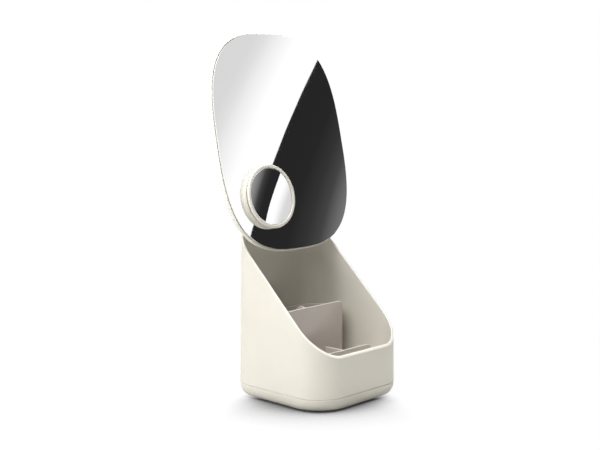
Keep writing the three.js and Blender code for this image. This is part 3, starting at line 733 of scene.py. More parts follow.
def makeGlass():
    margin, arris, thick = mirror["glassMargin"], mirror["glassArris"], mirror["glassThick"]
    face = margin + arris
    profile = [(face, 0, 0), (face, 1, 0), (margin, 1, -arris), (margin, 1, arris - thick), (face, 1, -thick),
               (face, 0, -thick)]
    return sweptMirror("mirror glass", profile, silveredGlass)


# Hinge

hingeBlock = {  # the mirror's half
    "half": 22, "rise": 15, "thick": 2.7, "corner": 3,
    "fillet": 2.5,  # where the knuckle leaves the plate
    "gap": 0.3, "seatMargin": 3, "seatProud": 0.2, "seatSoften": 0.15, "root": 0.5, "screwX": 17,
    "screwUp": 10, "hole": 1.6,
    "holeSpare": 0.3,  # past the screw's tip
    "soften": 0.7, "cornerSteps": 8, "filletSteps": 6, "knuckleSteps": 20,
}
hingeParts = {
    "knuckle": 6.2, "knuckleHalf": 8, "bore": 2.8, "earNear": 9.4, "earFar": 15.4, "earRoot": 173,
    "earInset": 0.1,  # of the ear's foot inside the leg
    "legHalf": 22, "legFront": 54.8, "legBack": 58.8, "legBottom": 158, "legTop": 178, "legCorner": 3,
    "washerNear": 8.3, "washerThick": 0.8, "washerRadius": 5.4, "washerRound": 0.12, "pinRadius": 2.5,
    "pinHead": 4.6, "pinHeadThick": 2.4,
    "pinDome": 0.55,  # share of the head that is domed
    "pinHeadRound": 0.2,
    "pinReach": 15.7,  # from the middle to the faces of head and nut
    "pinEnd": 20.1, "pinChamfer": 0.5, "nutRadius": 4.8, "nutThick": 3.4,
    "nutConeOut": 0.3,  # the cone that turns off its corners ends this far outside them
    "nutConeIn": 0.7,  # and this far from its faces
    "soften": 0.6, "legSteps": 8, "earSteps": 24, "pinSteps": 8, "coneSteps": 48,
}
hingeScrew = {"shank": 1.3, "head": 2.8, "headThick": 1.7, "length": 6.6}
baseScrew = {"shank": 1.5, "head": 3.2, "headThick": 1.8, "length": 12}


def blockBack():
    return -mirror["depth"] - hingeBlock["seatProud"] - hingeBlock["gap"] - hingeBlock["thick"]


def blockPlaces():
    return [glassMiddle + (xAxis * x + upGlass * (hingeUp + up)) * mm
            for x in (-hingeBlock["screwX"], hingeBlock["screwX"])
            for up in (-hingeBlock["screwUp"], hingeBlock["screwUp"])]


def blockHoles(low, high):
    return [rod(hingeBlock["hole"], low, high, place, outOfGlass, holeSteps) for place in blockPlaces()]


def hingeBore(low, high, material):
    return rod(hingeParts["bore"], low - past, high + past, hingePlace, xAxis, boreSteps, material)


def makeHingeBlock():
    back = blockBack()
    front = back + hingeBlock["thick"]
    outline = roundedPlan(hingeBlock["half"], hingeBlock["rise"], hingeBlock["corner"],
                          hingeBlock["cornerSteps"], hingeUp)
    piece = plate("hinge block", outline, back, front, mirrorAxes, glassMiddle, hingeBlock["soften"],
                  creamAbs)
    radius, fillet, half = hingeParts["knuckle"], hingeBlock["fillet"], hingeParts["knuckleHalf"]
    low, high, root = hingeUp - radius - fillet, hingeUp + radius + fillet, back + hingeBlock["root"]
    steps = hingeBlock["filletSteps"]
    side = [(low, root), (high, root)] + arc((high, back - fillet), fillet, quarterTurn, pi, steps)
    side += arc((hingeUp, hingeOut), radius, 0, -pi, hingeBlock["knuckleSteps"])
    side += arc((low, back - fillet), fillet, 0, quarterTurn, steps)
    knuckle = plate("knuckle", side, -half, half, (upGlass, outOfGlass, xAxis), glassMiddle, 0, creamAbs)
    holes = [hingeBore(-half, half, creamAbs)] + blockHoles(back - past, front + past)
    return combine(piece, ("UNION", [knuckle]), ("DIFFERENCE", holes))


def makeBracket():
    parts = hingeParts
    half, front, back, corner = parts["legHalf"], parts["legFront"], parts["legBack"], parts["legCorner"]
    low = parts["legBottom"] + corner
    outline = [(half, parts["legTop"]), (-half, parts["legTop"])]
    outline += arc((corner - half, low), corner, pi, 3 * quarterTurn, parts["legSteps"])
    outline += arc((half - corner, low), corner, -quarterTurn, 0, parts["legSteps"])
    piece = plate("hinge bracket", outline, front, back, frontAxes, origin, parts["soften"], creamAbs)
    side = [(front + parts["earInset"], parts["earRoot"]), (back - parts["earInset"], parts["earRoot"])]
    side += arc((hingePlace.y / mm, hingePlace.z / mm), parts["knuckle"], 0, pi, parts["earSteps"])
    near, far = parts["earNear"], parts["earFar"]
    ears = [plate("ear", side, start, end, sideAxes, origin, parts["soften"], creamAbs)
            for start, end in ((-far, -near), (near, far))]
    holes = [hingeBore(-far, far, creamAbs)] + wallHoles(front - past, 0, back - front + 2 * past)
    return combine(piece, ("UNION", ears), ("DIFFERENCE", holes))


def makePin():
    parts = hingeParts
    head, thick, soft = parts["pinHead"], parts["pinHeadThick"], parts["pinHeadRound"]
    radius, near, end, chamfer = parts["pinRadius"], -parts["pinReach"], parts["pinEnd"], parts["pinChamfer"]
    profile = [(head * sin(a), near - thick + thick * parts["pinDome"] * (1 - cos(a)))
               for a in quarter(parts["pinSteps"])]
    profile += [(head, near - soft), (head - soft, near), (radius, near), (radius, end - chamfer),
                (radius - chamfer, end), (0, end)]
    return turned("hinge pin", profile, hingePlace, xAxis, zincSteel, boreSteps)


def makeNut():  # a hexagon with its corners turned off at both ends
    parts = hingeParts
    radius, near = parts["nutRadius"], parts["pinReach"]
    far = near + parts["nutThick"]
    hexagon = [(radius * cos(at * pi / 3), radius * sin(at * pi / 3)) for at in range(6)]
    nut = plate("hinge nut", hexagon, near, far, sideAxes, hingePlace, 0, zincSteel)
    flat, wide, drop = radius * cos(pi / 6), radius + parts["nutConeOut"], parts["nutConeIn"]
    profile = [(0, near), (flat, near), (wide, near + drop), (wide, far - drop), (flat, far), (0, far)]
    cone = turned("cone", profile, hingePlace, xAxis, zincSteel, parts["coneSteps"])
    return combine(nut, ("INTERSECT", [cone]), ("DIFFERENCE", [hingeBore(near, far, zincSteel)]))


def makeWasher(side):  # a closed section, so its first point comes last again
    parts = hingeParts
    outer, inner, soft = parts["washerRadius"], parts["bore"], parts["washerRound"]
    near = parts["washerNear"] if side > 0 else -parts["washerNear"] - parts["washerThick"]
    far = near + parts["washerThick"]
    profile = [(inner, near + soft), (inner + soft, near), (outer - soft, near), (outer, near + soft),
               (outer, far - soft), (outer - soft, far), (inner + soft, far), (inner, far - soft),
               (inner, near + soft)]
    return turned("washer", profile, hingePlace, xAxis, darkAcetal, boreSteps)


# Magnifier: profiles of (radius, height above the glass)

lens = {
    "cupRadius": 32.4, "cupUnder": 1.2, "cupTop": 9.9, "cupFloor": 1.4, "cupWall": 2.2,
    "cupFillet": 1.6,
    "cupDraw": 1.9,  # the cup draws in under the ring: how far, over which height
    "cupShoulder": 4.2, "cupChamfer": 0.2, "floorFillet": 1, "holder": 14.3, "holderWall": 1.4,
    "holderTop": 4.4, "ringRadius": 32.8, "ringUnder": 12.7, "ringTop": 15.3, "ringLip": 3.7,
    "ringRound": 1.3, "lipRound": 0.9,
    "highlightSlope": 0.3,  # faces of the ring that look out more than this get the painted rim highlight
    "ringRear": 0.4, "seat": 12.1, "hole": 26.9, "skirtRadius": 29.9, "skirtUnder": 9.1,
    "glassRadius": 28.8,
    "glassEdge": 14.9,  # front of the glass at its upper and lower rim
    "glassThick": 1.4, "glassArris": 0.2,
    "curveAcross": 370,  # radii of the hollow face: pressed glass, flatter across than up
    "curveUp": 170, "curveRows": 24,
    "lean": 0.5,  # degrees, how far the glass leans in its seat
    "steps": 128, "cupSteps": 7, "drawSteps": 9, "rearSteps": 5, "roundSteps": 7, "lipSteps": 6,
}
lensFrame = mirrorFrame.copy()
lensFrame.translation = lensPlace


def lensTurned(name, profile, material):
    radius = lens["ringRadius"]
    rows = [(radius - r, 1, height) if r > 0 else (0, 0, height) for r, height in profile]
    return swept(name, rows, radius, radius, 2, 0, lens["steps"], lensFrame, material)


def makeCup():
    outer, fillet, inner = lens["cupRadius"], lens["cupFillet"], lens["cupRadius"] - lens["cupWall"]
    under, top, draw, shoulder = lens["cupUnder"], lens["cupTop"], lens["cupDraw"], lens["cupShoulder"]
    chamfer, bend, floor = lens["cupChamfer"], lens["floorFillet"], under + lens["cupFloor"]
    profile = [(0, under)]
    profile += [(outer - fillet + fillet * sin(a), under + fillet * (1 - cos(a)))
                for a in quarter(lens["cupSteps"])]
    profile += [(outer - draw * (1 - cos(a)), top - shoulder * (1 - sin(a)))
                for a in quarter(lens["drawSteps"])]
    profile += [(inner + chamfer, top), (inner, top - chamfer), (inner, floor + bend)]
    profile += [(inner - bend + bend * cos(a), floor + bend - bend * sin(a)) for a in filletTurns]
    wall = lens["holder"] + lens["holderWall"]
    profile += [(wall, floor), (wall, lens["holderTop"]), (lens["holder"], lens["holderTop"]),
                (lens["holder"], floor), (0, floor)]
    return lensTurned("magnifier cup", profile, creamAbs)


def makeRing():
    outer, soft, groove = lens["ringRadius"], lens["ringRound"], lens["ringRear"]
    under, top, hole, skirt = lens["ringUnder"], lens["ringTop"], lens["hole"], lens["skirtRadius"]
    lip, lipSoft = outer - lens["ringLip"], lens["lipRound"]
    profile = [(hole, lens["skirtUnder"]), (skirt, lens["skirtUnder"]), (skirt, under)]
    profile += [(outer - groove * (1 - sin(a)), under + groove * (1 - cos(a)))
                for a in quarter(lens["rearSteps"])]
    profile += [(outer - soft * (1 - cos(a)), top - soft * (1 - sin(a))) for a in quarter(lens["roundSteps"])]
    profile += [(lip + lipSoft * (1 - sin(a)), top - lipSoft * (1 - cos(a)))
                for a in quarter(lens["lipSteps"])]
    profile += [(lip, lens["seat"]), (hole, lens["seat"]), (hole, lens["skirtUnder"])]
    ring = lensTurned("magnifier ring", profile, creamAbs)
    # the ring's front faces get the paler cream: a painted highlight
    setFaces(ring, creamHighlight, lambda face: face.normal.dot(outOfGlass) > lens["highlightSlope"]
             and above(face.center, lensPlace) > under)
    # the faces deep in the groove get the darker cream: painted shade
    return setFaces(ring, grooveShadeAbs, lambda face: above(face.center, lensPlace) < under + groove / 2)


def makeLensGlass():  # a pressed sheet, hollow in front and full behind
    radius, edge, thick = lens["glassRadius"], lens["glassEdge"], lens["glassThick"]
    arris = lens["glassArris"]
    radii = [(radius - arris) * at / lens["curveRows"] for at in range(lens["curveRows"] + 1)]
    front = [(r, edge - (radius * radius - r * r) / (2 * lens["curveUp"])) for r in radii]
    profile = [(r, height - thick) for r, height in front]
    profile += [(radius, edge - thick + arris), (radius, edge - arris)] + front[::-1]
    piece = lensTurned("magnifier glass", profile, silveredGlass)
    flatter = (1 / lens["curveAcross"] - 1 / lens["curveUp"]) / 2
    lean = tan(radians(lens["lean"]))
    toLens = lensFrame.inverted()
    for vertex in piece.data.vertices:
        place = toLens @ vertex.co
        vertex.co += outOfGlass * (place.x * place.x * flatter / mm + place.y * lean)
    return tidyMesh(piece)


# Screws: one finished screw, set at each place by Geometry Nodes

thread = {
    "pitch": 0.8, "depth": 0.22,
    "perTurn": 6,  # rows in a turn
    "around": 20, "headRound": 0.25,
    "crown": 0.6,  # share of that round on the head's bearing side
    "socketDepth": 1, "socketPoint": 0.25, "socketSides": 6,
}


def screwMaster(spec):
    head, thick, shank, length = spec["head"], spec["headThick"], spec["shank"], spec["length"]
    soft, around, pitch = thread["headRound"], thread["around"], thread["pitch"]
    crown = soft * thread["crown"]
    rows = [(0, 0), (head - soft, 0), (head, soft), (head, thick - crown), (head - crown, thick)]
    turns = int((length - shank) / pitch * thread["perTurn"])
    columns = []
    for at in range(around):
        angle = at / around * 2 * pi
        column = list(rows)
        for step in range(turns + 1):  # the thread climbs a pitch in each turn
            height = thick + (length - shank) * step / turns
            phase = (height / pitch - at / around) % 1
            cut = thread["depth"] * (1 - abs(2 * phase - 1)) if height > thick + pitch / 2 else 0
            column.append((shank - cut, height))
        column.append((0, thick + length))
        columns.append([(r * cos(angle) * mm, r * sin(angle) * mm, height * mm) for r, height in column])
    deep = thread["socketDepth"]
    profile = [(0, -past), (head / 2, -past), (head / 2, deep), (0, deep + thread["socketPoint"])]
    socket = turned("socket", profile, origin, zAxis, zincSteel, thread["socketSides"])
    return combine(skin("screw", columns, zincSteel, "onAxis"), ("DIFFERENCE", [socket]))


def screwSetTree():
    tree, sockets, given = newTree("screw set", {
        "Places": "Geometry", "Screw": "Object", "Direction": "Vector", "Seed": "Int"})
    master = addNode(tree, "GeometryNodeObjectInfo", {"Object": given["Screw"]})
    spin = addNode(tree, "FunctionNodeRandomValue", {"Seed": given["Seed"]}, data_type="FLOAT")
    turn = addNode(tree, "ShaderNodeMath", {0: spin.outputs[1], 1: 2 * pi}, operation="MULTIPLY")
    twist = addNode(tree, "FunctionNodeAxisAngleToRotation", {"Angle": turn.outputs[0]})
    facing = addNode(tree, "FunctionNodeAlignRotationToVector",
                     {"Vector": given["Direction"], "Rotation": twist.outputs["Rotation"]}, axis="Z")
    placed = addNode(tree, "GeometryNodeInstanceOnPoints",
                     {"Points": given["Places"], "Instance": master.outputs["Geometry"],
                      "Rotation": facing.outputs["Rotation"]})
    endTree(tree, placed.outputs["Instances"], given["Material"])
    return tree, sockets


screwTree, screwSockets = screwSetTree()


def screwSet(name, spec, places, direction, seed):
    master = screwMaster(spec)
    piece = runTree(meshPiece(name, places, [], zincSteel), screwTree, screwSockets,
                    {"Screw": master, "Direction": direction, "Seed": seed, "Material": zincSteel})
    bpy.data.objects.remove(master)
    return tidyMesh(piece)


# Non-slip pad: Geometry Nodes set small studs over its underside

pad = {
    "half": 40, "corner": 12, "thick": 1.8, "studHeight": 0.45, "studRadius": 1.3, "studPitch": 5.2,
    "studRoot": 0.3,
    "studShape": ((0, 0), (0.6, 0), (0.9, 0.25), (1, 0.7)),  # shares of its radius and height
    "studMargin": 3, "soften": 0.4, "studSteps": 14,
}


def studTree():
    tree, sockets, given = newTree("grip studs", {"Pad": "Geometry", "Stud": "Object", "Count": "Int",
                                                  "Field": "Float", "Reach": "Float"})
    grid = addNode(tree, "GeometryNodeMeshGrid", {"Vertices X": given["Count"], "Vertices Y": given["Count"],
                                                  "Size X": given["Field"], "Size Y": given["Field"]})
    place = addNode(tree, "GeometryNodeInputPosition").outputs["Position"]
    parts = addNode(tree, "ShaderNodeSeparateXYZ", {"Vector": place}).outputs
    across, along = [addNode(tree, "ShaderNodeMath", {0: parts[axis]}, operation="ABSOLUTE") for axis in "XY"]
    total = addNode(tree, "ShaderNodeMath", {0: across.outputs[0], 1: along.outputs[0]}, operation="ADD")
    outside = addNode(tree, "FunctionNodeCompare", {0: total.outputs[0], 1: given["Reach"]},
                      data_type="FLOAT", operation="GREATER_THAN")
    kept = addNode(tree, "GeometryNodeDeleteGeometry",
                   {"Geometry": grid.outputs["Mesh"], "Selection": outside.outputs[0]}, domain="POINT")
    stud = addNode(tree, "GeometryNodeObjectInfo", {"Object": given["Stud"]})
    studs = addNode(tree, "GeometryNodeInstanceOnPoints",
                    {"Points": kept.outputs["Geometry"], "Instance": stud.outputs["Geometry"]})
    together = addNode(tree, "GeometryNodeJoinGeometry", {"Geometry": given["Pad"]})
    tree.links.new(studs.outputs["Instances"], together.inputs["Geometry"])
    endTree(tree, together.outputs["Geometry"], given["Material"])
    return tree, sockets


def makePad():
    radius, height = pad["studRadius"], pad["studHeight"]
    plan = roundedPlan(pad["half"], pad["half"], pad["corner"], planSteps)
    body = plate("non-slip pad", plan, height, pad["thick"], planAxes, origin, pad["soften"], padRubber)
    profile = [(radius * out, height * up) for out, up in pad["studShape"]]
    profile += [(radius, height + pad["studRoot"]), (0, height + pad["studRoot"])]
    stud = turned("stud", profile, origin, zAxis, padRubber, pad["studSteps"])
    tree, sockets = studTree()
    count = int(2 * (pad["half"] - pad["studMargin"]) / pad["studPitch"])
    runTree(body, tree, sockets, {
        "Stud": stud, "Count": count, "Field": (count - 1) * pad["studPitch"] * mm,
        "Reach": (2 * pad["half"] - pad["corner"]) * mm, "Material": padRubber})
    bpy.data.objects.remove(stud)
    return smoothed(body)


def settle(piece, name, body, slot, *nodes):
    piece.name = name
    piece.data.name = name
    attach(piece, body)
    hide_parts(*nodes)
    print("made", name, len(piece.data.polygons), "faces")


def screwPlaces(nodes, along):  # each at the middle of the end that its head makes
    places = []
    for node in nodes:
        place = middleOf(node)
        place[along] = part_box(node)[0][along]
        places.append(place)
    return places


settle(makePot(), "pot_shell", "root", "cream_plastic", "container_shell")
settle(makeCover(), "base_cover_moulding", "root", "cream_plastic", "base_cover")
settle(makePad(), "non_slip_pad", "root", "pad_rubber", "base_pad")
settle(makeOrganiser(), "organiser_moulding", "organiser", "taupe_plastic", "organiser")
settle(makeHousing(), "mirror_back_housing", "mirror", "cream_plastic", "mirror_housing")
settle(makeGlass(), "main_mirror_glass", "mirror", "mirror_glass", "mirror_glass")
settle(makeHingeBlock(), "hinge_knuckle_block", "mirror", "cream_plastic", "hinge_block")
settle(makeBracket(), "hinge_wall_bracket", "root", "cream_plastic", "hinge_bracket")
settle(makePin(), "hinge_pivot_pin", "root", "zinc_steel", "hinge_pin")
settle(makeNut(), "hinge_lock_nut", "root", "zinc_steel", "hinge_nut")
settle(makeWasher(-1), "washer_left", "root", "dark_polymer", "friction_washer_left")
settle(makeWasher(1), "washer_right", "root", "dark_polymer", "friction_washer_right")
settle(makeCup(), "magnifier_back_cup", "magnifier", "cream_plastic", "magnifier_cup")
settle(makeRing(), "magnifier_front_ring", "magnifier", "cream_plastic", "magnifier_ring")
settle(makeLensGlass(), "magnifier_hollow_glass", "magnifier", "mirror_glass", "magnifier_glass")

magnifierNames = ("magnifier_back_cup", "magnifier_front_ring", "magnifier_hollow_glass")
for hidden in [bpy.data.objects[name] for name in magnifierNames] + \
              [frame["nodes"][node] for node in ("magnifier_magnet", "magnifier_felt")]:
    hidden.visible_glossy = False  # the photograph's glass shows no image of the magnifier

baseScrewNodes = [f"base_screw_{at}" for at in range(1, 5)]
bracketScrewNodes = ["bracket_screw_1", "bracket_screw_2"]
blockScrewNodes = [f"block_screw_{at}" for at in range(1, 5)]
blockHeads = [place + outOfGlass * (blockBack() - hingeBlock["gap"] - hingeScrew["headThick"]) * mm
              for place in blockPlaces()]
settle(screwSet("base screws", baseScrew, screwPlaces(baseScrewNodes, 2), zAxis, 3),
       "base_screw_set", "root", "zinc_steel", *baseScrewNodes)
settle(screwSet("bracket screws", hingeScrew, screwPlaces(bracketScrewNodes, 1), yAxis, 5),
       "bracket_screw_set", "root", "zinc_steel", *bracketScrewNodes)
settle(screwSet("block screws", hingeScrew, blockHeads, outOfGlass, 8),
       "block_screw_set", "mirror", "zinc_steel", *blockScrewNodes)

# Pieces that stay as they were made, inside the object, with their own finish
for node, material in (("ballast_plate", rawSteel), ("mirror_tape", foamTape), ("keeper_plate", rawSteel),
                       ("magnifier_magnet", nickelPlate), ("magnifier_felt", woolFelt)):
    for slot in frame["nodes"][node].material_slots:
        slot.material = material
print("pieces ready")


# Camera, fitted to the outlines in the photograph

view = {
    "place": (-826.97, -764.70, 315.76),
    "azimuth": -46.33, "elevation": 7.08,
    "focal": 1101,  # pixels
    "sensor": 36,
}


def addToScene(name, data, place, aim):  # an object that looks along a direction
    thing = bpy.data.objects.new(name, data)
    thing.location = place
    thing.rotation_mode = "QUATERNION"
    thing.rotation_quaternion = aim.to_track_quat("-Z", "Y")
    bpy.context.scene.collection.objects.link(thing)
    return thing


def makeCamera():
    data = bpy.data.cameras.new("camera")
    data.sensor_width = view["sensor"]
    data.lens = view["focal"] * view["sensor"] / photoSize[0]
    azimuth, elevation = radians(view["azimuth"]), radians(view["elevation"])
    back = Vector((sin(azimuth) * cos(elevation), -cos(azimuth) * cos(elevation),
                   sin(elevation)))
    return addToScene("camera", data, Vector(view["place"]) * mm, -back)


camera = makeCamera()
bpy.context.scene.camera = camera


# Stage, in metres: white floor and white surroundings for the eye and for reflections, with plain soft lamps

stage = {
    "floorReach": 9.0,
    "bounceTone": "#c3c2bc",  # what the floor throws back onto the object
    "bounceShade": 0.8,  # how much of the painted contact shadow that light feels
    "floorTone": "#4b4b4b",  # what the eye sees of the lamps on it, cast shadows with it
    "floorGlow": 0.95,  # added for the eye, so that the lit floor reads as white
    # the contact values paint a shadow into the floor's glow: a ramp over ambient occlusion, full and wide on
    # one side of the object, drawn in sooner on the others
    "contactReach": 0.09,
    "contactSamples": 16,
    "contact": ((0.45, "#303030"), (0.56, "#8b8b8b"), (0.64, "#b1b1b1"), (0.72, "#d4d4d4"), (0.8, "#e5e5e5"),
                (0.9, "#f6f6f6"), (1, "#ffffff")),  # by how open the floor is at a point
    "contactFoot": 0.45,  # openness at the foot of the object
    "contactSide": (-0.72, -0.69, 0),  # the side of the object where that painted shadow is full and wide
    "contactDraw": 2.1,  # how much sooner it fades on the other sides
    "wideFrom": 0.05,
    "wideTo": 0.8,
    "shadeFrom": 0.1,
    "shadeTo": 0.48,
    "fadeStart": 0.14,
    "fadeEnd": 0.5,
    "ambient": 0.02,
}
white = linearColour("#ffffff")
unscattered = 0.5  # a ray that no matt surface has scattered has a diffuse depth under this


def whiteForTheEye(tree):  # one for camera, mirror and glass rays, nought for the light that falls on things
    path = addNode(tree, "ShaderNodeLightPath").outputs
    seen = path["Is Camera Ray"]
    for ray in ("Is Glossy Ray", "Is Transmission Ray"):
        seen = addNode(tree, "ShaderNodeMath", {0: seen, 1: path[ray]}, operation="MAXIMUM").outputs[0]
    straight = addNode(tree, "ShaderNodeMath", {0: path["Diffuse Depth"], 1: unscattered},
                       operation="LESS_THAN")
    return addNode(tree, "ShaderNodeMath", {0: seen, 1: straight.outputs[0]}, operation="MULTIPLY").outputs[0]


def makeWorld():
    world = bpy.data.worlds.new("studio")
    world.use_nodes = True
    tree = world.node_tree
    tree.nodes.clear()
    strength = addNode(tree, "ShaderNodeMapRange",
                       {"Value": whiteForTheEye(tree), "To Min": stage["ambient"], "To Max": 1.0})
    glow = addNode(tree, "ShaderNodeBackground", {"Color": white, "Strength": strength.outputs["Result"]})
    addNode(tree, "ShaderNodeOutputWorld", {"Surface": glow.outputs["Background"]})
    bpy.context.scene.world = world


def makeFloor():  # a mix node's inputs 0, 6 and 7 are its factor and colours, its output 2 the colour
    reach = stage["floorReach"]
    material, tree = emptyMaterial("matt white floor")
    seen = whiteForTheEye(tree)
    place = addNode(tree, "ShaderNodeTexCoord").outputs["Object"]
    away = addNode(tree, "ShaderNodeVectorMath", {0: place}, operation="LENGTH")
    way = addNode(tree, "ShaderNodeVectorMath", {0: place}, operation="NORMALIZE")
    towards = addNode(tree, "ShaderNodeVectorMath", {0: way.outputs["Vector"], 1: stage["contactSide"]},
                      operation="DOT_PRODUCT").outputs["Value"]
    openness = addNode(tree, "ShaderNodeAmbientOcclusion", {"Distance": stage["contactReach"]},
                       samples=stage["contactSamples"])
    eased = {}
    for name, value, start, end, low in (("draw", towards, "wideFrom", "wideTo", stage["contactDraw"]),
                                         ("share", towards, "shadeFrom", "shadeTo", 0.0),
                                         ("far", away.outputs["Value"], "fadeStart", "fadeEnd", 0.0)):
        eased[name] = addNode(tree, "ShaderNodeMapRange", {
            "Value": value, "From Min": stage[start], "From Max": stage[end], "To Min": low, "To Max": 1.0,
        }, interpolation_type="SMOOTHSTEP").outputs["Result"]
    beyond = addNode(tree, "ShaderNodeMath", {0: openness.outputs["AO"], 1: stage["contactFoot"]},
                     operation="SUBTRACT")
    drawn = addNode(tree, "ShaderNodeMath", {0: beyond.outputs[0], 1: eased["draw"], 2: stage["contactFoot"]},
                    operation="MULTIPLY_ADD")
    shade = addNode(tree, "ShaderNodeValToRGB", {"Fac": drawn.outputs[0]})
    setStops(shade, stage["contact"])

    # painted shade: the colour that the floor throws back is darkened near the object by the same ramp
    thrown = addNode(tree, "ShaderNodeMix", {
        0: stage["bounceShade"], 6: linearColour(stage["bounceTone"]), 7: shade.outputs["Color"],
    }, data_type="RGBA", blend_type="MULTIPLY")
    tone = addNode(tree, "ShaderNodeMix", {
        0: seen, 6: thrown.outputs[2], 7: linearColour(stage["floorTone"])}, data_type="RGBA")
    lit = addNode(tree, "ShaderNodeBsdfDiffuse", {"Color": tone.outputs[2]})
    # painted shadow: the glow that the eye sees is darkened near the object
    contact = addNode(tree, "ShaderNodeMix", {0: eased["share"], 6: white, 7: shade.outputs["Color"]},
                      data_type="RGBA")
    lift = addNode(tree, "ShaderNodeMath", {0: seen, 1: stage["floorGlow"]}, operation="MULTIPLY")
    extra = addNode(tree, "ShaderNodeEmission", {"Color": contact.outputs[2], "Strength": lift.outputs[0]})
    near = addNode(tree, "ShaderNodeAddShader", {0: lit.outputs["BSDF"], 1: extra.outputs["Emission"]})

    fade = addNode(tree, "ShaderNodeMath", {0: eased["far"], 1: seen}, operation="MULTIPLY")
    glow = addNode(tree, "ShaderNodeEmission", {"Strength": seen})
    shader = addNode(tree, "ShaderNodeMixShader",
                     {0: fade.outputs[0], 1: near.outputs["Shader"], 2: glow.outputs["Emission"]})
    addNode(tree, "ShaderNodeOutputMaterial", {"Surface": shader.outputs["Shader"]})
    corners = [(-reach, -reach, 0), (reach, -reach, 0), (reach, reach, 0), (-reach, reach, 0)]
    floor = meshPiece("floor", corners, [(0, 1, 2, 3)], material)


lampAim = (0, 0, 0.12)
lampSpread = 180
lamps = {
    "key": {"place": (-0.85, 0.2, 1.3), "size": (0.9, 0.9), "power": 13.5},
    "side": {"place": (-1.15, -0.35, 1.0), "size": (0.8, 0.8), "power": 4.2},
    "left": {"place": (-1.4, 0.6, 0.5), "size": (0.8, 0.8), "power": 6.3},
    "low left": {"place": (-1.5, 0.1, 0.2), "aim": (0, 0, 0.08), "size": (0.8, 0.3), "power": 1.8},
    "top": {"place": (-0.15, -0.15, 1.5), "aim": (0, 0, 0.1), "size": (1.2, 1.2), "power": 16},
    "front": {"place": (-0.8, -0.9, 1.0), "size": (0.6, 0.6), "power": 1.2},
    "back": {"place": (0.75, 1.3, 0.35), "aim": (0, 0, 0.2), "size": (0.8, 0.6), "power": 6},
    "low right": {"place": (0.9, -1.0, 0.04), "aim": (0, 0, 0.035), "size": (0.9, 0.06), "power": 0.07,
                  "spread": 10},
    "low front": {"place": (0.55, -1.15, 0.03), "aim": (0, 0, 0.025), "size": (0.9, 0.04), "power": 0.024,
                  "spread": 6},
    "mirror front": {"place": (0.1, -1.1, 1.15), "aim": (0, 0.05, 0.325), "size": (0.8, 0.1), "power": 0.08,
                     "spread": 9},
}


def makeLamp(name, spec):
    data = bpy.data.lights.new(name, "AREA")
    data.shape = "RECTANGLE"
    data.size, data.size_y = spec["size"]
    data.energy = spec["power"]
    data.spread = radians(spec.get("spread", lampSpread))
    lamp = addToScene(name, data, spec["place"], Vector(spec.get("aim", lampAim)) - Vector(spec["place"]))
    lamp.visible_glossy = False


# What the glass shows: a dark and a pale board that meet in one slanting edge. The edge is laid where the
# photograph's reflection of it runs, by bouncing the camera's rays off the glass onto the boards' plane.
# Both boards glow with painted gradients and only mirror rays see them: a painted reflection.
boards = {
    "distance": 2.6,  # from the glass
    "edge": ((317.3, 60.2), (272.6, 163.9), (250.6, 235.2)),  # pixels, top to bottom
    "darkPixel": (350, 160),
    "width": 1.6,
    "reachUp": 1.2,
    "rows": 24,
    "gain": 1.03,  # makes up for what the glass swallows
    "dark": ((0, "#242424"), (0.15, "#262626"), (0.22, "#333333"), (0.27, "#434343"), (0.34, "#747474"),
             (0.5, "#a8a8a8"), (1.6, "#f4f4f4")),  # metres from the edge
    "pale": ((0, "#ffffff"), (0.14, "#fdfdfd"), (0.19, "#f3f3f3"), (0.23, "#eaeaea"), (0.27, "#dedede"),
             (0.32, "#d6d6d6"), (1.6, "#d2d2d2")),
}


def bounced(pixel):  # where a camera ray meets the glass, and where it goes from there
    turn = camera.rotation_quaternion.to_matrix()
    ray = turn @ Vector(((pixel[0] - photoSize[0] / 2) / view["focal"],
                         (photoSize[1] / 2 - pixel[1]) / view["focal"], -1)).normalized()
    away = (glassMiddle - camera.location).dot(outOfGlass) / ray.dot(outOfGlass)
    return camera.location + ray * away, ray - outOfGlass * 2 * ray.dot(outOfGlass)


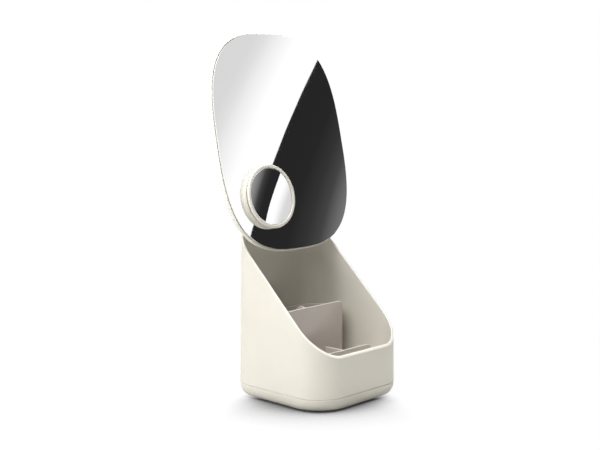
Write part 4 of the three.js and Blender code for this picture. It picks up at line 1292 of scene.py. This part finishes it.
def boardMaterial(name, stops):
    material, tree = emptyMaterial(name)
    place = addNode(tree, "ShaderNodeUVMap", uv_map="across")
    across = addNode(tree, "ShaderNodeSeparateXYZ", {"Vector": place.outputs["UV"]})
    tone = addNode(tree, "ShaderNodeValToRGB", {"Fac": across.outputs["X"]})
    setStops(tone, [(away / boards["width"], code) for away, code in stops])
    lift = addNode(tree, "ShaderNodeMath", {0: whiteForTheEye(tree), 1: boards["gain"]}, operation="MULTIPLY")
    glow = addNode(tree, "ShaderNodeEmission", {"Color": tone.outputs["Color"], "Strength": lift.outputs[0]})
    addNode(tree, "ShaderNodeOutputMaterial", {"Surface": glow.outputs["Emission"]})
    return material


def makeBoards():
    middle, ahead = bounced(boards["edge"][1])
    centre = middle + ahead * boards["distance"]
    across = ahead.cross(zAxis).normalized()
    up = across.cross(ahead).normalized()

    def onBoard(pixel):
        start, ray = bounced(pixel)
        point = start + ray * ((centre - start).dot(ahead) / ray.dot(ahead))
        return (point - centre).dot(across), (point - centre).dot(up)

    (u0, v0), (u1, v1), (u2, v2) = [onBoard(pixel) for pixel in boards["edge"]]
    bend = ((u2 - u1) / (v2 - v1) - (u1 - u0) / (v1 - v0)) / (v2 - v0)

    def edgeAt(v):
        return u0 + (u1 - u0) / (v1 - v0) * (v - v0) + bend * (v - v0) * (v - v1)

    darkAcross, darkUp = onBoard(boards["darkPixel"])
    darkSide = copysign(1, darkAcross - edgeAt(darkUp))
    for name, side, stops in (("dark board", darkSide, boards["dark"]),
                              ("pale board", -darkSide, boards["pale"])):
        vertices = []
        for row in range(boards["rows"] + 1):
            v = boards["reachUp"] * (2 * row / boards["rows"] - 1)
            vertices += [centre + across * (edgeAt(v) + side * boards["width"] * share) + up * v
                         for share in (0, 1)]
        faces = [(2 * row, 2 * row + 1, 2 * row + 3, 2 * row + 2) for row in range(boards["rows"])]
        board = meshPiece(name, vertices, faces, boardMaterial(name, stops))
        layer = board.data.uv_layers.new(name="across")
        for loop in board.data.loops:
            layer.data[loop.index].uv = (loop.vertex_index % 2, 0)  # nought on the edge, one at the far side
        for kind in ("camera", "diffuse", "shadow", "transmission"):
            setattr(board, "visible_" + kind, False)


makeWorld()
makeFloor()
for lampName, lampSpec in lamps.items():
    makeLamp(lampName, lampSpec)
makeBoards()
bpy.context.scene.view_settings.view_transform = "Standard"
print("stage ready")
